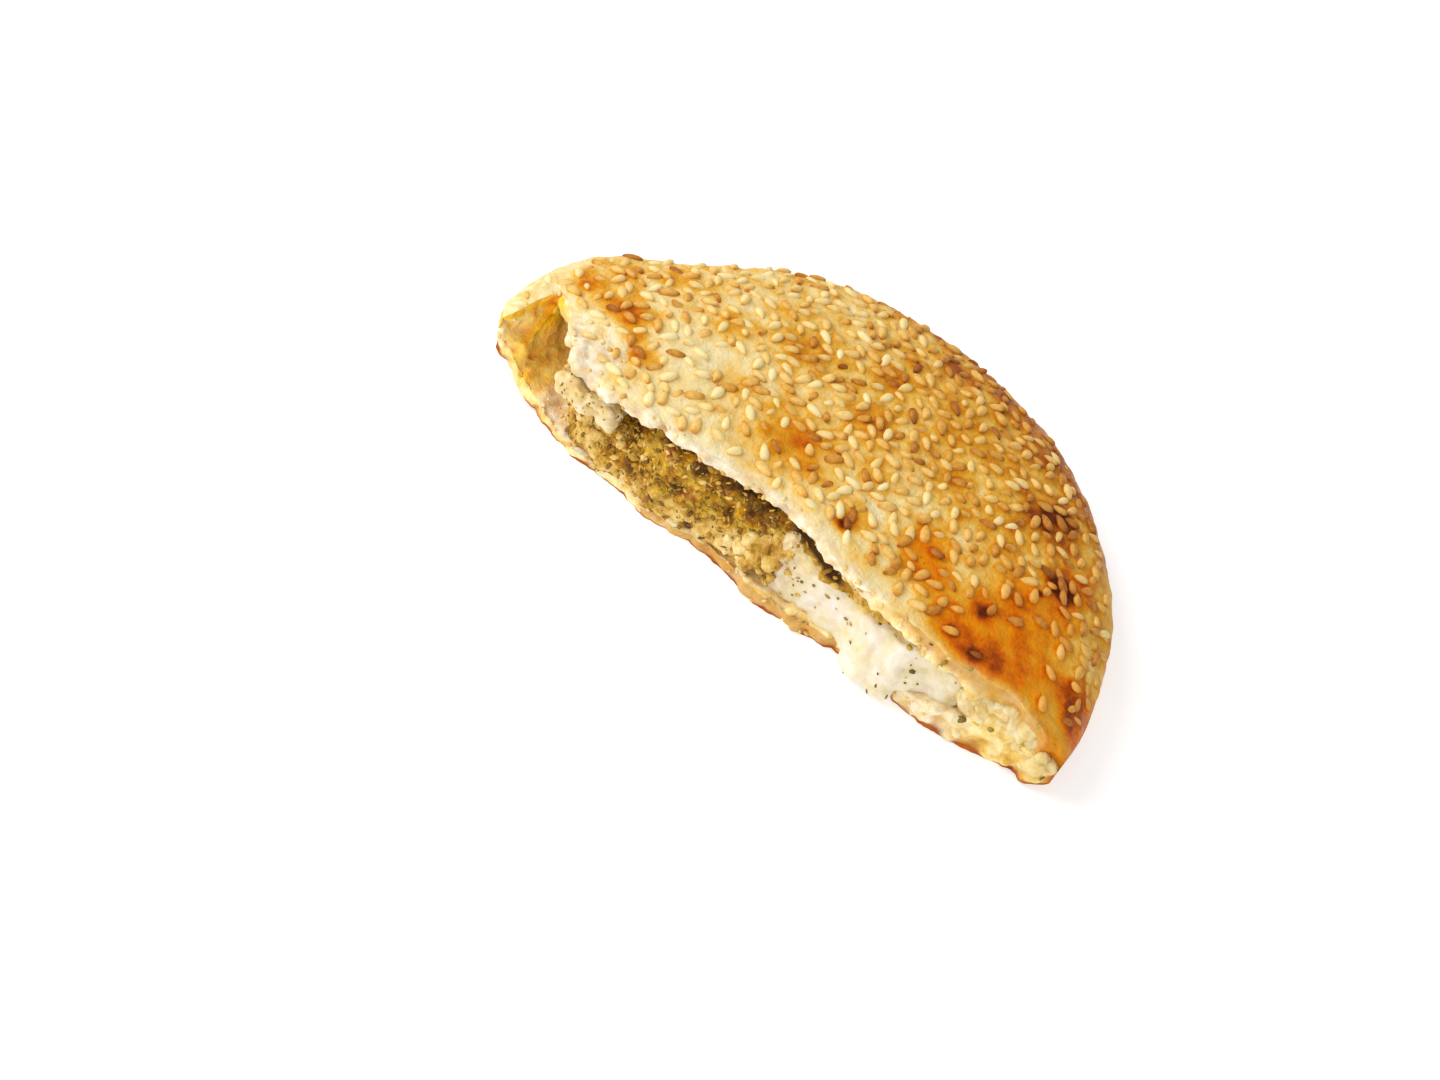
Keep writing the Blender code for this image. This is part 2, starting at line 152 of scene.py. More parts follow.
# Where few seeds stuck, in the same form
THINLY_SEEDED = ((23.2, 7, 5.5, 6), (-6.5, 9, 4.5, 4.5), (-13, 2.5, 7, 4.5), (-24.5, 14, 4.5, 9),
                 (1, 11, 3, 4))
# Where the skin is torn away over curds, in the same form again
PEELED = (-44, 0.5, 8.5, 8)
RANDOM_SEED = 7

# Dark clumps of za'atar: (x, z, radius, strength) in millimetres
DARK_CLUMPS = ((-26, 5.5, 2.0, 1.3), (-18, 9, 1.5, 1.2), (-15, 14.6, 1.9, 1.3), (-12.2, 13.8, 2.1, 1.0),
               (-27.6, 11, 1.8, 1.1), (-23.5, 6.4, 1.2, 1.1), (-4.5, 12.6, 1.3, 0.7), (-8.5, 10.0, 1.3, 1.0))
# Lumps where the za'atar meets the cheese: (x, share of the height, half size in millimetres)
JOINT_LUMPS = ((-3.4, 0.3, 1.7), (-2.0, 0.43, 1.9), (-0.2, 0.34, 2.0), (0.6, 0.5, 1.8), (2.2, 0.4, 1.9),
               (-1.4, 0.2, 1.6), (2.8, 0.56, 1.5))
# Lumps at the right tip: (to the right, inwards, up, half size) in millimetres
TIP_LUMPS = ((-0.2, 1.3, -0.7, 2.3), (1.5, 1.6, 0.3, 1.7), (-1.8, 1.2, 0.6, 1.6), (0.4, 0.9, 1.5, 1.4),
             (-1.4, 0.8, -1.4, 1.5))
TIP_STATION, TIP_LUMPS_HEIGHT = 56.6 * MM, 0.4
JOINT_LUMPS_SUNK = 1.2 * MM
# Lumps strewn over the torn side: the draw, how many, between which stations, shares of its height and
# half sizes in millimetres, and how far each is sunk, as a share of its size
STREWN_ZAATAR = ((31, 16, (-9, 7), (0.14, 0.62), (0.5, 1.1), 1.25),
                 (32, 14, (-36, -24), (0.25, 0.62), (0.5, 1.1), 1.1))
STREWN_CRUMB = (33, 24, (41, 55), (0.15, 0.75), (1.2, 2.6), 1.0)

# How finely the surfaces are divided
BREAD_STATIONS = 400
BREAD_SPANS = {"dome": 110, "base": 24, "low_tear": 18, "pocket": 72, "top_tear": 20}
FILL_STATIONS = 300
FILL_AROUND = 260
CURD_STATIONS = 90
CURD_AROUND = 110
LUMP_STATIONS = 16
LUMP_AROUND = 22
# Which span is the pocket's
POCKET_SPAN = 3
# How far the divisions crowd towards the tips, the rim and the filling's ends and front, and how near
# the bread's tips they begin
TIP_CROWDING = 0.7
RIM_CROWDING = 0.7
FILL_END_CROWDING = 0.6
FILL_FRONT_CROWDING = 1.7
TIP_START = 0.9995

# Relief on the surfaces: (height, length) in millimetres and the layer of noise
SKIN_WAVES = ((0.28, 5, 40.0), (0.2, 2.2, 41.0), (0.05, 1.1, 42.0))
CHEESE_BUMPS = ((0.8, 4.0, 70.0), (0.4, 1.6, 71.0))
ZAATAR_BUMPS = ((0.9, 4.5, 80.0), (0.4, 1.8, 81.0))
CURD_BUMPS = ((0.8, 2.6, 90.0), (0.25, 0.9, 91.0))
STREAK_LAYER = 32.0
# How far the filling swells beyond its solids, in millimetres, and how far back its relief goes
FILLING_SWELL = 0.1
RELIEF_DEPTH = 12 * MM
# Only places that are torn, or covered in curds, by more than this share get that relief
LEAST_SHARE = 0.02
# All of the food stays this far above the table
TABLE_GAP = 0.01 * MM

# Strewn bits: most for each square metre, length, width and thickness in millimetres, the smallest's
# size as a share of the largest's, and the number that the random draw starts from
BITS = {
    "zaatar_crumbs": (1.8e5, 2.4, 1.2, 0.8, 0.4, 18),
    "zaatar_grains": (7e5, 1.7, 0.55, 0.4, 0.4, 11),
    "herb_flakes": (1.6e5, 2.2, 0.9, 0.35, 0.3, 12),
    "grains_on_cheese": (3e5, 1.0, 0.8, 0.5, 0.4, 16),
    "herbs_on_cheese": (4e4, 1.7, 1.1, 0.3, 0.3, 13),
    "herbs_on_curds": (5e5, 0.9, 0.6, 0.3, 0.3, 14),
    "loose_crumbs": (1.6e5, 1.6, 1.1, 0.8, 0.3, 15),
    "herbs_on_crumb": (1.8e4, 2.2, 1.5, 0.35, 0.4, 17),
}
# How far a bit tilts and turns either way, in radians
BIT_TILT = 0.7
BIT_TURN = 3.1
TONE_DRAW = 5
# How far back behind the torn side bits are strewn
SHOWN_DEPTH = 7 * MM

# Each piece's material slot, and the node that it stands for
PIECES = {
    "baked_bread": ("crust", "bread"),
    "sesame_seeds": ("crust",),
    "cheese_filling": ("cheese", "cheese"),
    "zaatar_filling": ("zaatar", "zaatar"),
    "cheese_curds": ("cheese", "cheese_lump"),
    "zaatar_grains": ("zaatar",),
    "herb_flakes": ("zaatar",),
    "herbs_on_cheese": ("zaatar",),
    "herbs_on_curds": ("zaatar",),
    "zaatar_crumbs": ("zaatar",),
    "grains_on_cheese": ("zaatar",),
    "zaatar_clumps": ("zaatar",),
    "crumb_lumps": ("crust",),
    "herbs_on_crumb": ("zaatar",),
    "loose_crumbs": ("crust",),
}

# Browned places of the skin: (x, y, radius, strength) in millimetres
BROWNED = (
    (-51.0, 15.5, 2.8, 0.55), (-42.5, 13.2, 3.4, 0.68), (-40.5, 12.0, 2.2, 0.62), (-46.8, 13.6, 2.8, 0.45),
    (-38.0, 8.5, 2.0, 0.46), (-35.5, 4.8, 2.2, 0.56), (-41.0, 28.0, 3.6, 0.42), (-48.0, 22.0, 3.4, 0.42),
    (-24.0, 34.0, 3.0, 0.3), (-5.6, 10.4, 2.6, 0.66), (-7.0, 9.5, 5.4, 0.48), (-2.4, 7.6, 3.4, 0.42),
    (-2.0, 36.0, 4.0, 0.46), (-15.0, 30.0, 5.0, 0.38), (1.4, 24.4, 4.0, 0.5), (4.6, 49.8, 2.8, 0.66),
    (8.6, 49.0, 2.6, 0.5), (14.0, 53.0, 3.2, 0.7), (20.5, 52.0, 4.0, 0.55), (8.6, 0.8, 1.3, 0.9),
    (10.2, 2.6, 2.2, 0.5), (21.5, 8.6, 4.4, 0.56), (24.5, 5.0, 4.4, 0.53), (21.5, 12.0, 3.0, 0.36),
    (17.6, 25.2, 3.6, 0.46), (12.0, 34.0, 4.0, 0.4), (33.8, 34.4, 3.0, 0.91), (32.0, 31.5, 3.0, 0.8),
    (35.6, 36.6, 2.6, 0.8), (37.6, 31.0, 4.2, 0.6), (42.6, 22.0, 3.4, 1.0), (44.4, 25.6, 3.4, 0.58),
    (40.0, 17.0, 1.0, 0.95), (40.2, 12.4, 1.6, 0.64), (43.6, 16.5, 5.2, 0.54), (47.0, 13.0, 4.0, 0.46),
    (35.2, 5.0, 1.9, 0.95), (36.0, 4.2, 3.6, 0.66), (31.5, -2.5, 3.4, 0.58), (35.0, -3.0, 3.2, 0.68),
    (38.6, -3.4, 2.8, 0.76), (41.0, 0.0, 3.6, 0.74), (42.5, -2.6, 2.4, 0.76), (45.0, 1.5, 3.8, 0.62),
    (41.5, 6.0, 5.0, 0.55), (47.0, 6.5, 5.0, 0.53), (36.5, 10.0, 5.0, 0.5), (50.5, 4.0, 4.0, 0.52),
    (55.0, 6.4, 3.6, 0.7), (58.0, 2.0, 3.0, 0.64), (30.0, 14.0, 4.5, 0.28), (30.0, 1.5, 3.6, 0.5),
    (-6.5, 10.0, 8.5, 0.37), (-15.0, 30.0, 7.0, 0.36), (-2.0, 36.0, 6.0, 0.4), (1.0, 24.0, 5.5, 0.42),
    (26.0, 48.0, 6.0, 0.56), (-28.0, 24.0, 4.0, 0.34), (-20.0, 12.0, 3.0, 0.33), (7.0, 15.0, 4.0, 0.32),
    (31.0, 19.5, 4.0, 0.4), (20.0, 34.0, 4.0, 0.3), (-17.0, 27.0, 4.0, 0.42), (-35.0, 30.5, 3.4, 0.26),
)
# Fields of glazed orange skin: (x, y, half length, half width, strength)
GLAZED = ((44, 1.5, 15, 8.5, 0.57), (41.5, 12, 8.5, 8, 0.54), (23.5, 7, 5, 6, 0.58), (37, -3, 8, 3.5, 0.71),
          (55.5, 5.5, 4, 4.5, 0.64), (44, 24, 4, 8, 0.56))
# Places that stayed pale, in the same form as the browned ones
PALE = (
    (-57.0, 8.0, 7.0, 0.2), (-30.0, 14.0, 9.0, 0.07), (-18.0, 5.0, 9.0, 0.07), (11.0, 9.0, 6.0, 0.14),
    (-18.0, 20.0, 8.0, 0.05), (52.5, 0.5, 2.2, 0.2), (-8.0, 38.0, 7.0, 0.04), (35.5, 22.0, 4.0, 0.1),
    (47.0, 31.0, 6.0, 0.12), (51.0, 24.0, 4.0, 0.12), (54.0, 18.0, 4.5, 0.16), (26.8, 12.8, 3.6, 0.5),
    (-5.0, 2.5, 3.4, 0.16),
)


def mix(a, b, share):
    return a + (b - a) * share


def smooth_step(low, high, value):
    share = np.clip((value - low) / (high - low), 0, 1)
    return share * share * (3 - 2 * share)


def rise(low, high, value):
    """Smooth step between two lengths in millimetres. It falls where the first is the larger."""
    return smooth_step(low * MM, high * MM, value)


def stretch(x, begins, full, falls, ends):
    """1 along a stretch of stations, in millimetres, and 0 beyond it. It rises and falls smoothly."""
    return rise(begins, full, x) * rise(ends, falls, x)


def bell(value, centre, width):
    return np.exp(-(((value - centre) / width) ** 2))


def waviness(x, y, length, layer=0.0):
    """Smooth noise from -1 to 1 at points (x, y), with waves about this long. Each layer is another noise."""
    flat = zip(np.ravel(x) / length, np.ravel(y) / length)
    return np.array([noise.noise(Vector((a, b, layer))) for a, b in flat]).reshape(np.shape(x))


def waves(x, y, listed):
    """Sum of noises over points (x, y), listed as (height, length in millimetres, layer)."""
    return sum(height * waviness(x, y, length * MM, layer) for height, length, layer in listed)


def lumps(points, length, layer=0.0):
    """Smooth noise from -1 to 1 in space."""
    return np.array([noise.noise(Vector(p)) for p in (points / length + layer).tolist()])


def bumps(points, listed):
    """Sum of noises in space, listed in the same form."""
    return sum(height * lumps(points, length * MM, layer) for height, length, layer in listed)


def pores(points, length, layer=0.0):
    """Distance to the nearest of many scattered centres, in lengths."""
    return np.array([noise.voronoi(Vector(p))[0][0] for p in (points / length + layer).tolist()])


def bulges(points, length, layer, size, hollow=0.3):
    """A round bulge of this size in each cell, over hollows at most this deep. Cells are this many
    millimetres across."""
    return np.clip(size - pores(points, length * MM, layer), -hollow, size)


def at_point(form, x, y):
    """The value at one point of a form that is written for arrays."""
    return float(form(np.array(x), np.array(y)))


def add_to_scene(name, data):
    obj = bpy.data.objects.new(name, data)
    bpy.context.scene.collection.objects.link(obj)
    return obj


# Form of the whole pie

def half_chord(x):
    """Half the width of the round pie at station x."""
    return np.sqrt(np.maximum(PIE_RADIUS**2 - x**2, 0))


def wobble(x):
    """How far the baked outline leaves a true circle along its back."""
    flatter_left = BACK_LEFT_FLATTENING * bell(x, -45 * MM, 15 * MM)
    flatter_right = RIGHT_END_FLATTENING * bell(x, 59 * MM, 3.5 * MM)
    return 1 + BACK_RIGHT_FULLNESS * bell(x, 28 * MM, 16 * MM) - flatter_left - flatter_right


def tip_shift(x):
    """How far back the left tip lies."""
    return LEFT_TIP_SET_BACK * rise(-44, -60, x)


def rim_back(x):
    """Where the rim is at the back."""
    return half_chord(x) * wobble(x) + tip_shift(x)


def rim_share(x, y):
    """0 at the pie's centre and 1 on its rim."""
    across = y - tip_shift(x)
    return np.minimum(np.hypot(x, np.where(across > 0, across / wobble(x), across)) / PIE_RADIUS, 1)


def leftness(x, y):
    """0 towards the right tip and 1 towards the left one."""
    return (1 - np.cos(np.arctan2(y, x))) / 2


def rim_height(x, y):
    return mix(RIM_HEIGHT_RIGHT, RIM_HEIGHT_LEFT, leftness(x, y))


def top_height(x, y):
    """The domed upper skin."""
    share = rim_share(x, y)
    rim = rim_height(x, y)
    crown = CROWN_HEIGHT - CROWN_FALL_TO_RIGHT * x / PIE_RADIUS
    pillows = WAVE_HEIGHT * (waviness(x, y, WAVE_LENGTH) + 0.5 * waviness(x, y, WAVE_LENGTH / 2, 3.0))
    return rim + (crown - rim) * (1 - share**DOME_ROUNDNESS) ** DOME_EDGE + pillows * (1 - share**6)


def base_height(x, y):
    """The underside: flat in the middle and rolled up to the rim. The right tip sags at its front."""
    flat = mix(FLAT_RADIUS_RIGHT, FLAT_RADIUS_LEFT, leftness(x, y)) / PIE_RADIUS
    roll = np.clip((rim_share(x, y) - flat) / (1 - flat), 0, 1)
    sagging = RIGHT_TIP_SAG * bell(x, 60 * MM, 7 * MM) * bell(y, -4 * MM, 5 * MM)
    return rim_height(x, y) * (1 - np.sqrt(1 - roll**2)) * (1 - sagging)


def crust_limit(x, y):
    """The most that a crust is thick."""
    return CRUST_LIMIT * (top_height(x, y) - base_height(x, y))


def read_line(points, x):
    """Value at station x of a line given as points (x, value) in millimetres."""
    along, values = np.array(points).T * MM
    return np.interp(x, along, values)


def pocket_ceiling(x, y):
    return top_height(x, y) - np.minimum(read_line(TOP_CRUST, x), crust_limit(x, y))


def pocket_floor(x, y):
    return base_height(x, y) + np.minimum(read_line(BOTTOM_CRUST, x), crust_limit(x, y))


def tear_line(points, x):
    """How far forward or back a torn edge is at station x."""
    chord, shift = half_chord(x), tip_shift(x)
    return np.clip(read_line(points, x), shift - TEAR_REACH * chord, shift + TEAR_REACH * chord)


def pocket_depth(x, front):
    """How far the pocket runs back from the front at station x. It is 0 in the solid ends."""
    centre = (POCKET_LEFT + POCKET_RIGHT) / 2
    reach = (POCKET_RIGHT - POCKET_LEFT) / 2
    across = np.clip(1 - ((x - centre) / reach) ** 2, 0, 1) ** 0.5
    back = (PIE_RADIUS - POCKET_WALL) * across
    return np.where(across > 0, np.maximum(back - np.maximum(front, 0), 0), 0) * smooth_step(0, 0.25, across)


# Meshes

def formed_sphere(name, stations, around, point):
    """A closed form of rings between two tips. point(station, around) says where each vertex goes, and
    what else is known of it."""
    station = np.concatenate([[0], np.repeat(np.arange(1, stations) / stations, around), [1]])
    turn = np.concatenate([[0], np.tile(np.arange(around) / around, stations - 1), [0]])
    ring = 1 + np.arange(around * (stations - 1)).reshape(stations - 1, around)
    following = np.roll(ring, -1, axis=1)
    last = around * (stations - 1) + 1
    quads = np.stack([ring[:-1], ring[1:], following[1:], following[:-1]], axis=-1).reshape(-1, 4).tolist()
    first_tip = np.stack([0 * ring[0], ring[0], following[0]], axis=-1).tolist()
    last_tip = np.stack([last + 0 * ring[-1], following[-1], ring[-1]], axis=-1).tolist()
    place, known = point(station, turn)
    mesh = bpy.data.meshes.new(name)
    mesh.from_pydata(place.tolist(), [], quads + first_tip + last_tip)
    shape = bmesh.new()
    shape.from_mesh(mesh)
    if shape.calc_volume(signed=True) < 0:
        bmesh.ops.reverse_faces(shape, faces=shape.faces)
    shape.to_mesh(mesh)
    shape.free()
    mesh.shade_smooth()
    return add_to_scene(name, mesh), known


def places_of(mesh):
    flat = np.empty(len(mesh.vertices) * 3, dtype=np.float32)
    mesh.vertices.foreach_get("co", flat)
    return flat.reshape(-1, 3).astype(float)


def normals_of(mesh):
    flat = np.empty(len(mesh.vertices) * 3, dtype=np.float32)
    mesh.vertex_normals.foreach_get("vector", flat)
    return flat.reshape(-1, 3).astype(float)


def put_places(mesh, places):
    mesh.vertices.foreach_set("co", np.ravel(places).astype(np.float32))
    mesh.update()


def keep_above_table(mesh):
    places = places_of(mesh)
    places[:, 2] = np.maximum(places[:, 2], TABLE_GAP)
    put_places(mesh, places)


def put_attribute(mesh, name, values):
    kept = mesh.attributes.new(name, "FLOAT", "POINT")
    kept.data.foreach_set("value", np.ravel(values).astype(np.float32))


def attribute_of(mesh, name):
    values = np.empty(len(mesh.vertices), dtype=np.float32)
    mesh.attributes[name].data.foreach_get("value", values)
    return values


# Form of the bread

def span_of(step, spans):
    """Which span of the section each step lies on, as an index, and how far along it, from 0 to 1."""
    ends = np.cumsum(list(spans.values()))
    index = np.minimum(np.searchsorted(ends, step, side="right"), len(ends) - 1)
    counts = np.array(list(spans.values()))
    return index, (step - (ends - counts)[index]) / counts[index]


def ragged(x, layer):
    """Small teeth of a torn edge, in plan."""
    (coarse, coarse_length), (fine, fine_length) = TEETH
    teeth = waves(x, x * 0, ((coarse, coarse_length, layer), (fine, fine_length, layer + 5)))
    return teeth * MM * rise(60, 56, np.abs(x))


def bread_point(station, around):
    """Point of the bread's surface, and what is known of it. station runs from the left tip to the
    right tip, and around goes over the dome, back along the base, up the lower tear, round the pocket
    and up the upper tear."""
    x = PIE_RADIUS * mix(2 * station - 1, -np.cos(math.pi * station), TIP_CROWDING) * TIP_START
    index, share = span_of(np.round(around * sum(BREAD_SPANS.values()), 6), BREAD_SPANS)
    in_pocket = index == POCKET_SPAN
    share = np.where(in_pocket, smooth_step(0, 1, share), share)
    front_top = tear_line(TOP_TEAR, x) + ragged(x, 1.0)
    front_low = tear_line(BOTTOM_TEAR, x) + ragged(x, 2.0)
    back = rim_back(x)
    eased = mix(share, np.sin(math.pi / 2 * share), RIM_CROWDING)
    eased_back = 1 - mix(1 - share, np.sin(math.pi / 2 * (1 - share)), RIM_CROWDING)

    dome_y = mix(front_top, back, eased)
    base_y = mix(back, front_low, eased_back)
    depth = pocket_depth(x, front_top)
    climb = mix(share, smooth_step(0.32, 0.68, share), np.clip(depth / OPEN_DEPTH, 0, 1))
    pocket_y = mix(front_low, front_top, climb) + depth * np.sin(math.pi * share) ** POCKET_ROUNDNESS
    pocket_y = np.minimum(pocket_y, mix(front_low, back, POCKET_REACH))
    pocket_z = mix(pocket_floor(x, pocket_y), pocket_ceiling(x, pocket_y), climb)
    low_tear_z = mix(base_height(x, front_low), pocket_floor(x, front_low), share)
    top_tear_z = mix(pocket_ceiling(x, front_top), top_height(x, front_top), share)

    y = np.choose(index, [dome_y, base_y, front_low, pocket_y, front_top])
    z = np.choose(index, [top_height(x, dome_y), base_height(x, base_y), low_tear_z, pocket_z, top_tear_z])
    crag = CRAG_HEIGHT * waviness(x + z, y - z, CRAG_LENGTH, 9.0)
    near_top = 1 - rise(0, 2.2, dome_y - front_top)
    near_low = 1 - rise(0, 1.5, base_y - front_low)
    craggy = np.choose(index, [near_top, 0.5 * near_low, 0.5 + 0.1 * share, 0.6 + 0.4 * share**4, 1.0])
    crease = CREASE_DEPTH * rise(46, 54, x) * bell(climb, 0.62, 0.14) * in_pocket
    inside = rise(1.5, 9, pocket_y - np.maximum(front_low, front_top)) * in_pocket
    ends = smooth_step(0, 0.08, 1 - np.abs(2 * station - 1))
    point = np.stack([x, y + crag * craggy * ends + crease, z], axis=-1)
    return point, {"span": index, "share": share, "inside": inside, "ends": ends, "near_top": near_top,
                   "near_low": near_low}


# Browning of the skin

def spots(x, y, listed):
    """Round spots given as (x, y, radius, strength), which run into each other and have uneven edges."""
    edge = 1 + waves(x, y, ((0.4, 3.5, 20.0), (0.25, 1.6, 21.0)))
    total = np.zeros(np.shape(x))
    for spot_x, spot_y, radius, strength in listed:
        away = np.hypot(x - spot_x * MM, y - spot_y * MM) / (radius * MM) * edge
        total += (strength * np.exp(-(away**2) * 0.55)) ** 6
    return total ** (1 / 6)


def patch(x, y, centre_x, centre_y, half_length, half_width):
    """1 in the middle of an oval with a soft edge, sizes in millimetres."""
    away = ((x - centre_x * MM) / half_length) ** 2 + ((y - centre_y * MM) / half_width) ** 2
    return np.exp(-((away / MM**2) ** 2))


def glazed_at(x, y):
    """1 where the skin has a glaze of oil and 0 where it is dull."""
    near = [patch(x, y, *field[:4]) for field in GLAZED]
    return np.clip(np.sum(near, axis=0) + 0.8 * spots(x, y, BROWNED) * (y < 22 * MM), 0, 1)


def streaks(x, y, layer):
    """Long thin noise that runs down to the right across the skin."""
    along, across = 0.5 * x - 0.86 * y, 0.86 * x + 0.5 * y
    return waviness(across, 0.28 * along, 2.4 * MM, layer)


def even_browning(x, y):
    """Browning without its spots. It grows towards the back right and the rim."""
    to_back_right = rise(6, 56, 0.8 * x + 0.62 * y)
    even = 0.08 + 0.17 * to_back_right + 0.07 * rise(18, 46, y) + 0.06 * bell(x, 14 * MM, 22 * MM)
    even = even + 0.06 * patch(x, y, 31, 27, 14, 13)
    return even + (0.08 + 0.1 * to_back_right) * smooth_step(0.84, 0.98, rim_share(x, y))


def pale_beside_tear(x, y):
    """How much paler the skin is beside its torn edge: in a thin line at the right and a band at the left."""
    away = y - tear_line(TOP_TEAR, x)
    line = rise(3.4, 0.4, away + MM * waviness(x, y, 3 * MM, 38.0)) * stretch(x, 24, 32, 49, 53)
    band = rise(8, 4, away + 2 * MM * waviness(x, y, 6 * MM, 39.0)) * stretch(x, -30, -24, 4, 14)
    return 0.17 * line + 0.16 * band


def browning_at(x, y):
    """How brown the upper skin is, from 0 to 1."""
    uneven = waves(x, y, ((0.1, 9, 30.0), (0.16, 4, 31.0))) + 0.12 * streaks(x, y, STREAK_LAYER)
    base = even_browning(x, y) + uneven
    for *field, strength in GLAZED:
        base = mix(base, strength + 0.6 * uneven, patch(x, y, *field))
    base = base - spots(x, y, PALE) - pale_beside_tear(x, y)
    brown = spots(x, y, BROWNED)
    return np.clip(np.maximum(base, brown) + 0.1 * np.minimum(base, brown), 0, 1)


def peeled_at(x, y):
    """1 where the skin is torn away at the front left, 0 elsewhere, with a ragged edge."""
    edge = waves(x, y, ((0.3, 3, 33.0), (0.2, 1.3, 34.0)))
    return smooth_step(0.35, 0.6, patch(x, y, *PEELED) + edge * 0.6) * rise(-54, -51, x)


def beside_seeds(x, y, seed_places):
    """1 on the rim of the nearest seed, fading out within a millimetre or two."""
    tree = kdtree.KDTree(len(seed_places))
    for number, seed in enumerate(seed_places):
        tree.insert((seed[0], seed[1], 0), number)
    tree.balance()
    away = np.array([tree.find((a, b, 0))[2] for a, b in zip(x, y)])
    return 1 - rise(1.2, 2.1, away)


# Fine surface of the bread. In these functions, at holds what is known of every vertex

def on_spans(at, *values):
    """Values for the dome, the underside, the lower tear, the pocket's wall and the upper tear."""
    return np.select([at.dome, at.under, at.low_tear, at.wall, at.top_tear], values)


def torn_share(at):
    """How torn each place is. The skin folds down over the right tip, and the underside up over its edge."""
    folded = rise(54, 56.5, at.x + 0.8 * MM * waviness(at.z, at.y, 2.5 * MM, 35.0))
    edge_up = 1 - smooth_step(0.06, 0.24, at.share + 0.35 * waviness(at.x, at.z, 4.0 * MM, 36.0))
    bare_edge = at.near_top**2 * (1 - 0.85 * rise(20, 30, at.x)) * (1 - folded)
    wall = (1 - 0.7 * at.inside * (at.x > -34 * MM)) * (1 - folded * smooth_step(0.62, 0.74, at.share))
    return at.ends * on_spans(at, np.maximum(bare_edge, at.peeled), 0, 1 - edge_up, wall, 1 - folded)


def curdy_share(at):
    """Where curds stick to the torn face at the front left."""
    stuck = at.peeled + (at.top_tear | at.wall) * (1 - at.inside) * rise(-49, -46, at.x)
    return np.clip(stuck, 0, 1) * rise(-29, -33, at.x) * mix(1, 0.35, rise(0, 6, at.y))


def skin_relief(at):
    """Soft pillows, small wrinkles and a slight rise at each seed."""
    skin = waves(at.x, at.y, SKIN_WAVES) + 0.2 * at.seeded + 0.12 * streaks(at.x, at.y, STREAK_LAYER)
    return at.dome * (1 - at.torn) * skin


def crumb_relief(at):
    """Lumps, strands and pores of torn crumb. Towards the right it has soft lumps and few pores."""
    torn = at.torn > LEAST_SHARE
    places = at.places[torn]
    airy = 1 - 0.75 * rise(20, 30, places[:, 0])
    holes = 1.6 * bulges(places, 2.6, 3.0, 0.42, 0) + 0.3 * bulges(places, 1.3, 8.0, 0.4, 0)
    soft = bulges(places, 2.9, 14.0, 0.54) * (1 - airy)
    coarse, fine = lumps(places, 3.2 * MM, 50.0), lumps(places, 1.4 * MM, 60.0)
    rough = np.zeros(len(at.x))
    rough[torn] = 0.8 * coarse + 0.3 * airy * fine + 2.1 * soft - airy * holes
    return rough * (1 - 0.6 * at.peeled)


def bread_relief(at):
    """Relief of the whole bread, in millimetres. It eases off where the torn face meets the skin."""
    stuck = at.curdy > LEAST_SHARE
    curds = np.zeros(len(at.x))
    curds[stuck] = bulges(at.places[stuck], 2.7, 12.0, 0.62, 0.2)
    relief = skin_relief(at) + at.rough * at.torn * (1 + 0.9 * rise(-50, -56, at.x)) + 1.2 * curds * at.curdy
    seam = on_spans(at, at.near_top**3, 0, 0, 0, smooth_step(0.55, 1.0, at.share))
    relief = relief * (1 - 0.85 * seam * (1 - peeled_at(at.x, at.y)))
    return relief + at.under * 0.05 * waviness(at.x, at.y, 4 * MM, 43.0) * (at.z > 0.3 * MM)


def bread_browning_and_seed_shadow(at):
    """Browning of all the bread, with a painted shadow beside each seed. The underside is darker, and blends
    with the skin as it rolls up.
    """
    # Darker beside each seed: partly an oily halo, and partly a painted shadow where the seed meets the skin,
    # which seeded**4 makes strongest at the seed's rim
    brown = browning_at(at.x, at.y) + (0.02 + 0.03 * bell(at.x, 20 * MM, 40 * MM)) * at.seeded
    brown = brown + 0.09 * at.seeded**4
    dome = brown + 0.1 * at.near_rim * smooth_step(0.97, 1.0, rim_share(at.x, at.y))
    under = mix(0.5 + 0.22 * at.near_low, brown + 0.06, at.near_rim)
    return on_spans(at, dome, under, 0.76, 0.55, 0.55)


def hollow_share(at):
    """Where the oily yellow wall of the hollow at the left is."""
    hollow = at.wall * stretch(at.x, -58.5, -52.5, -48, -43)
    hollow = hollow * np.clip(0.92 + 0.55 * waviness(at.x, 0.35 * at.z, 1.8 * MM, 46.0), 0, 1)
    return hollow * mix(0.72, 1, rise(5, 10, at.z + 2 * MM * waviness(at.x, at.z, 3 * MM, 37.0)))


def milky_share(at):
    """Where the torn face looks like curds: along the middle of the upper tear, and the lip at the right."""
    creamy_edge = 0.95 * (at.top_tear + at.dome * (1 - at.peeled)) * stretch(at.x, -34, -28, 16, 24)
    milky_lip = 0.85 * (at.low_tear | at.wall) * stretch(at.x, 24, 28, 42, 48)
    return np.clip(at.curdy + creamy_edge + milky_lip, 0, 1)


def pit_shade_and_tan_share(at):
    """Where torn crumb is darker: painted shade in its pits, and its own tan on the lower lip and along the
    upper rim at the right.
    """
    # Painted shade: crumb darkened where its relief sinks into pits
    pits = np.clip(-1.04 * at.rough, 0, 0.8) * (1 - 0.7 * at.hollow)
    tanned_lip = at.low_tear * stretch(at.x, -24, -12, 22, 28)
    rim = 0.95 * at.top_tear * smooth_step(0, 0.7, at.share) + 0.4 * at.wall * smooth_step(0.7, 1, at.share)
    return np.clip(pits + tanned_lip + rim * rise(22, 32, at.x), 0, 1) * at.torn


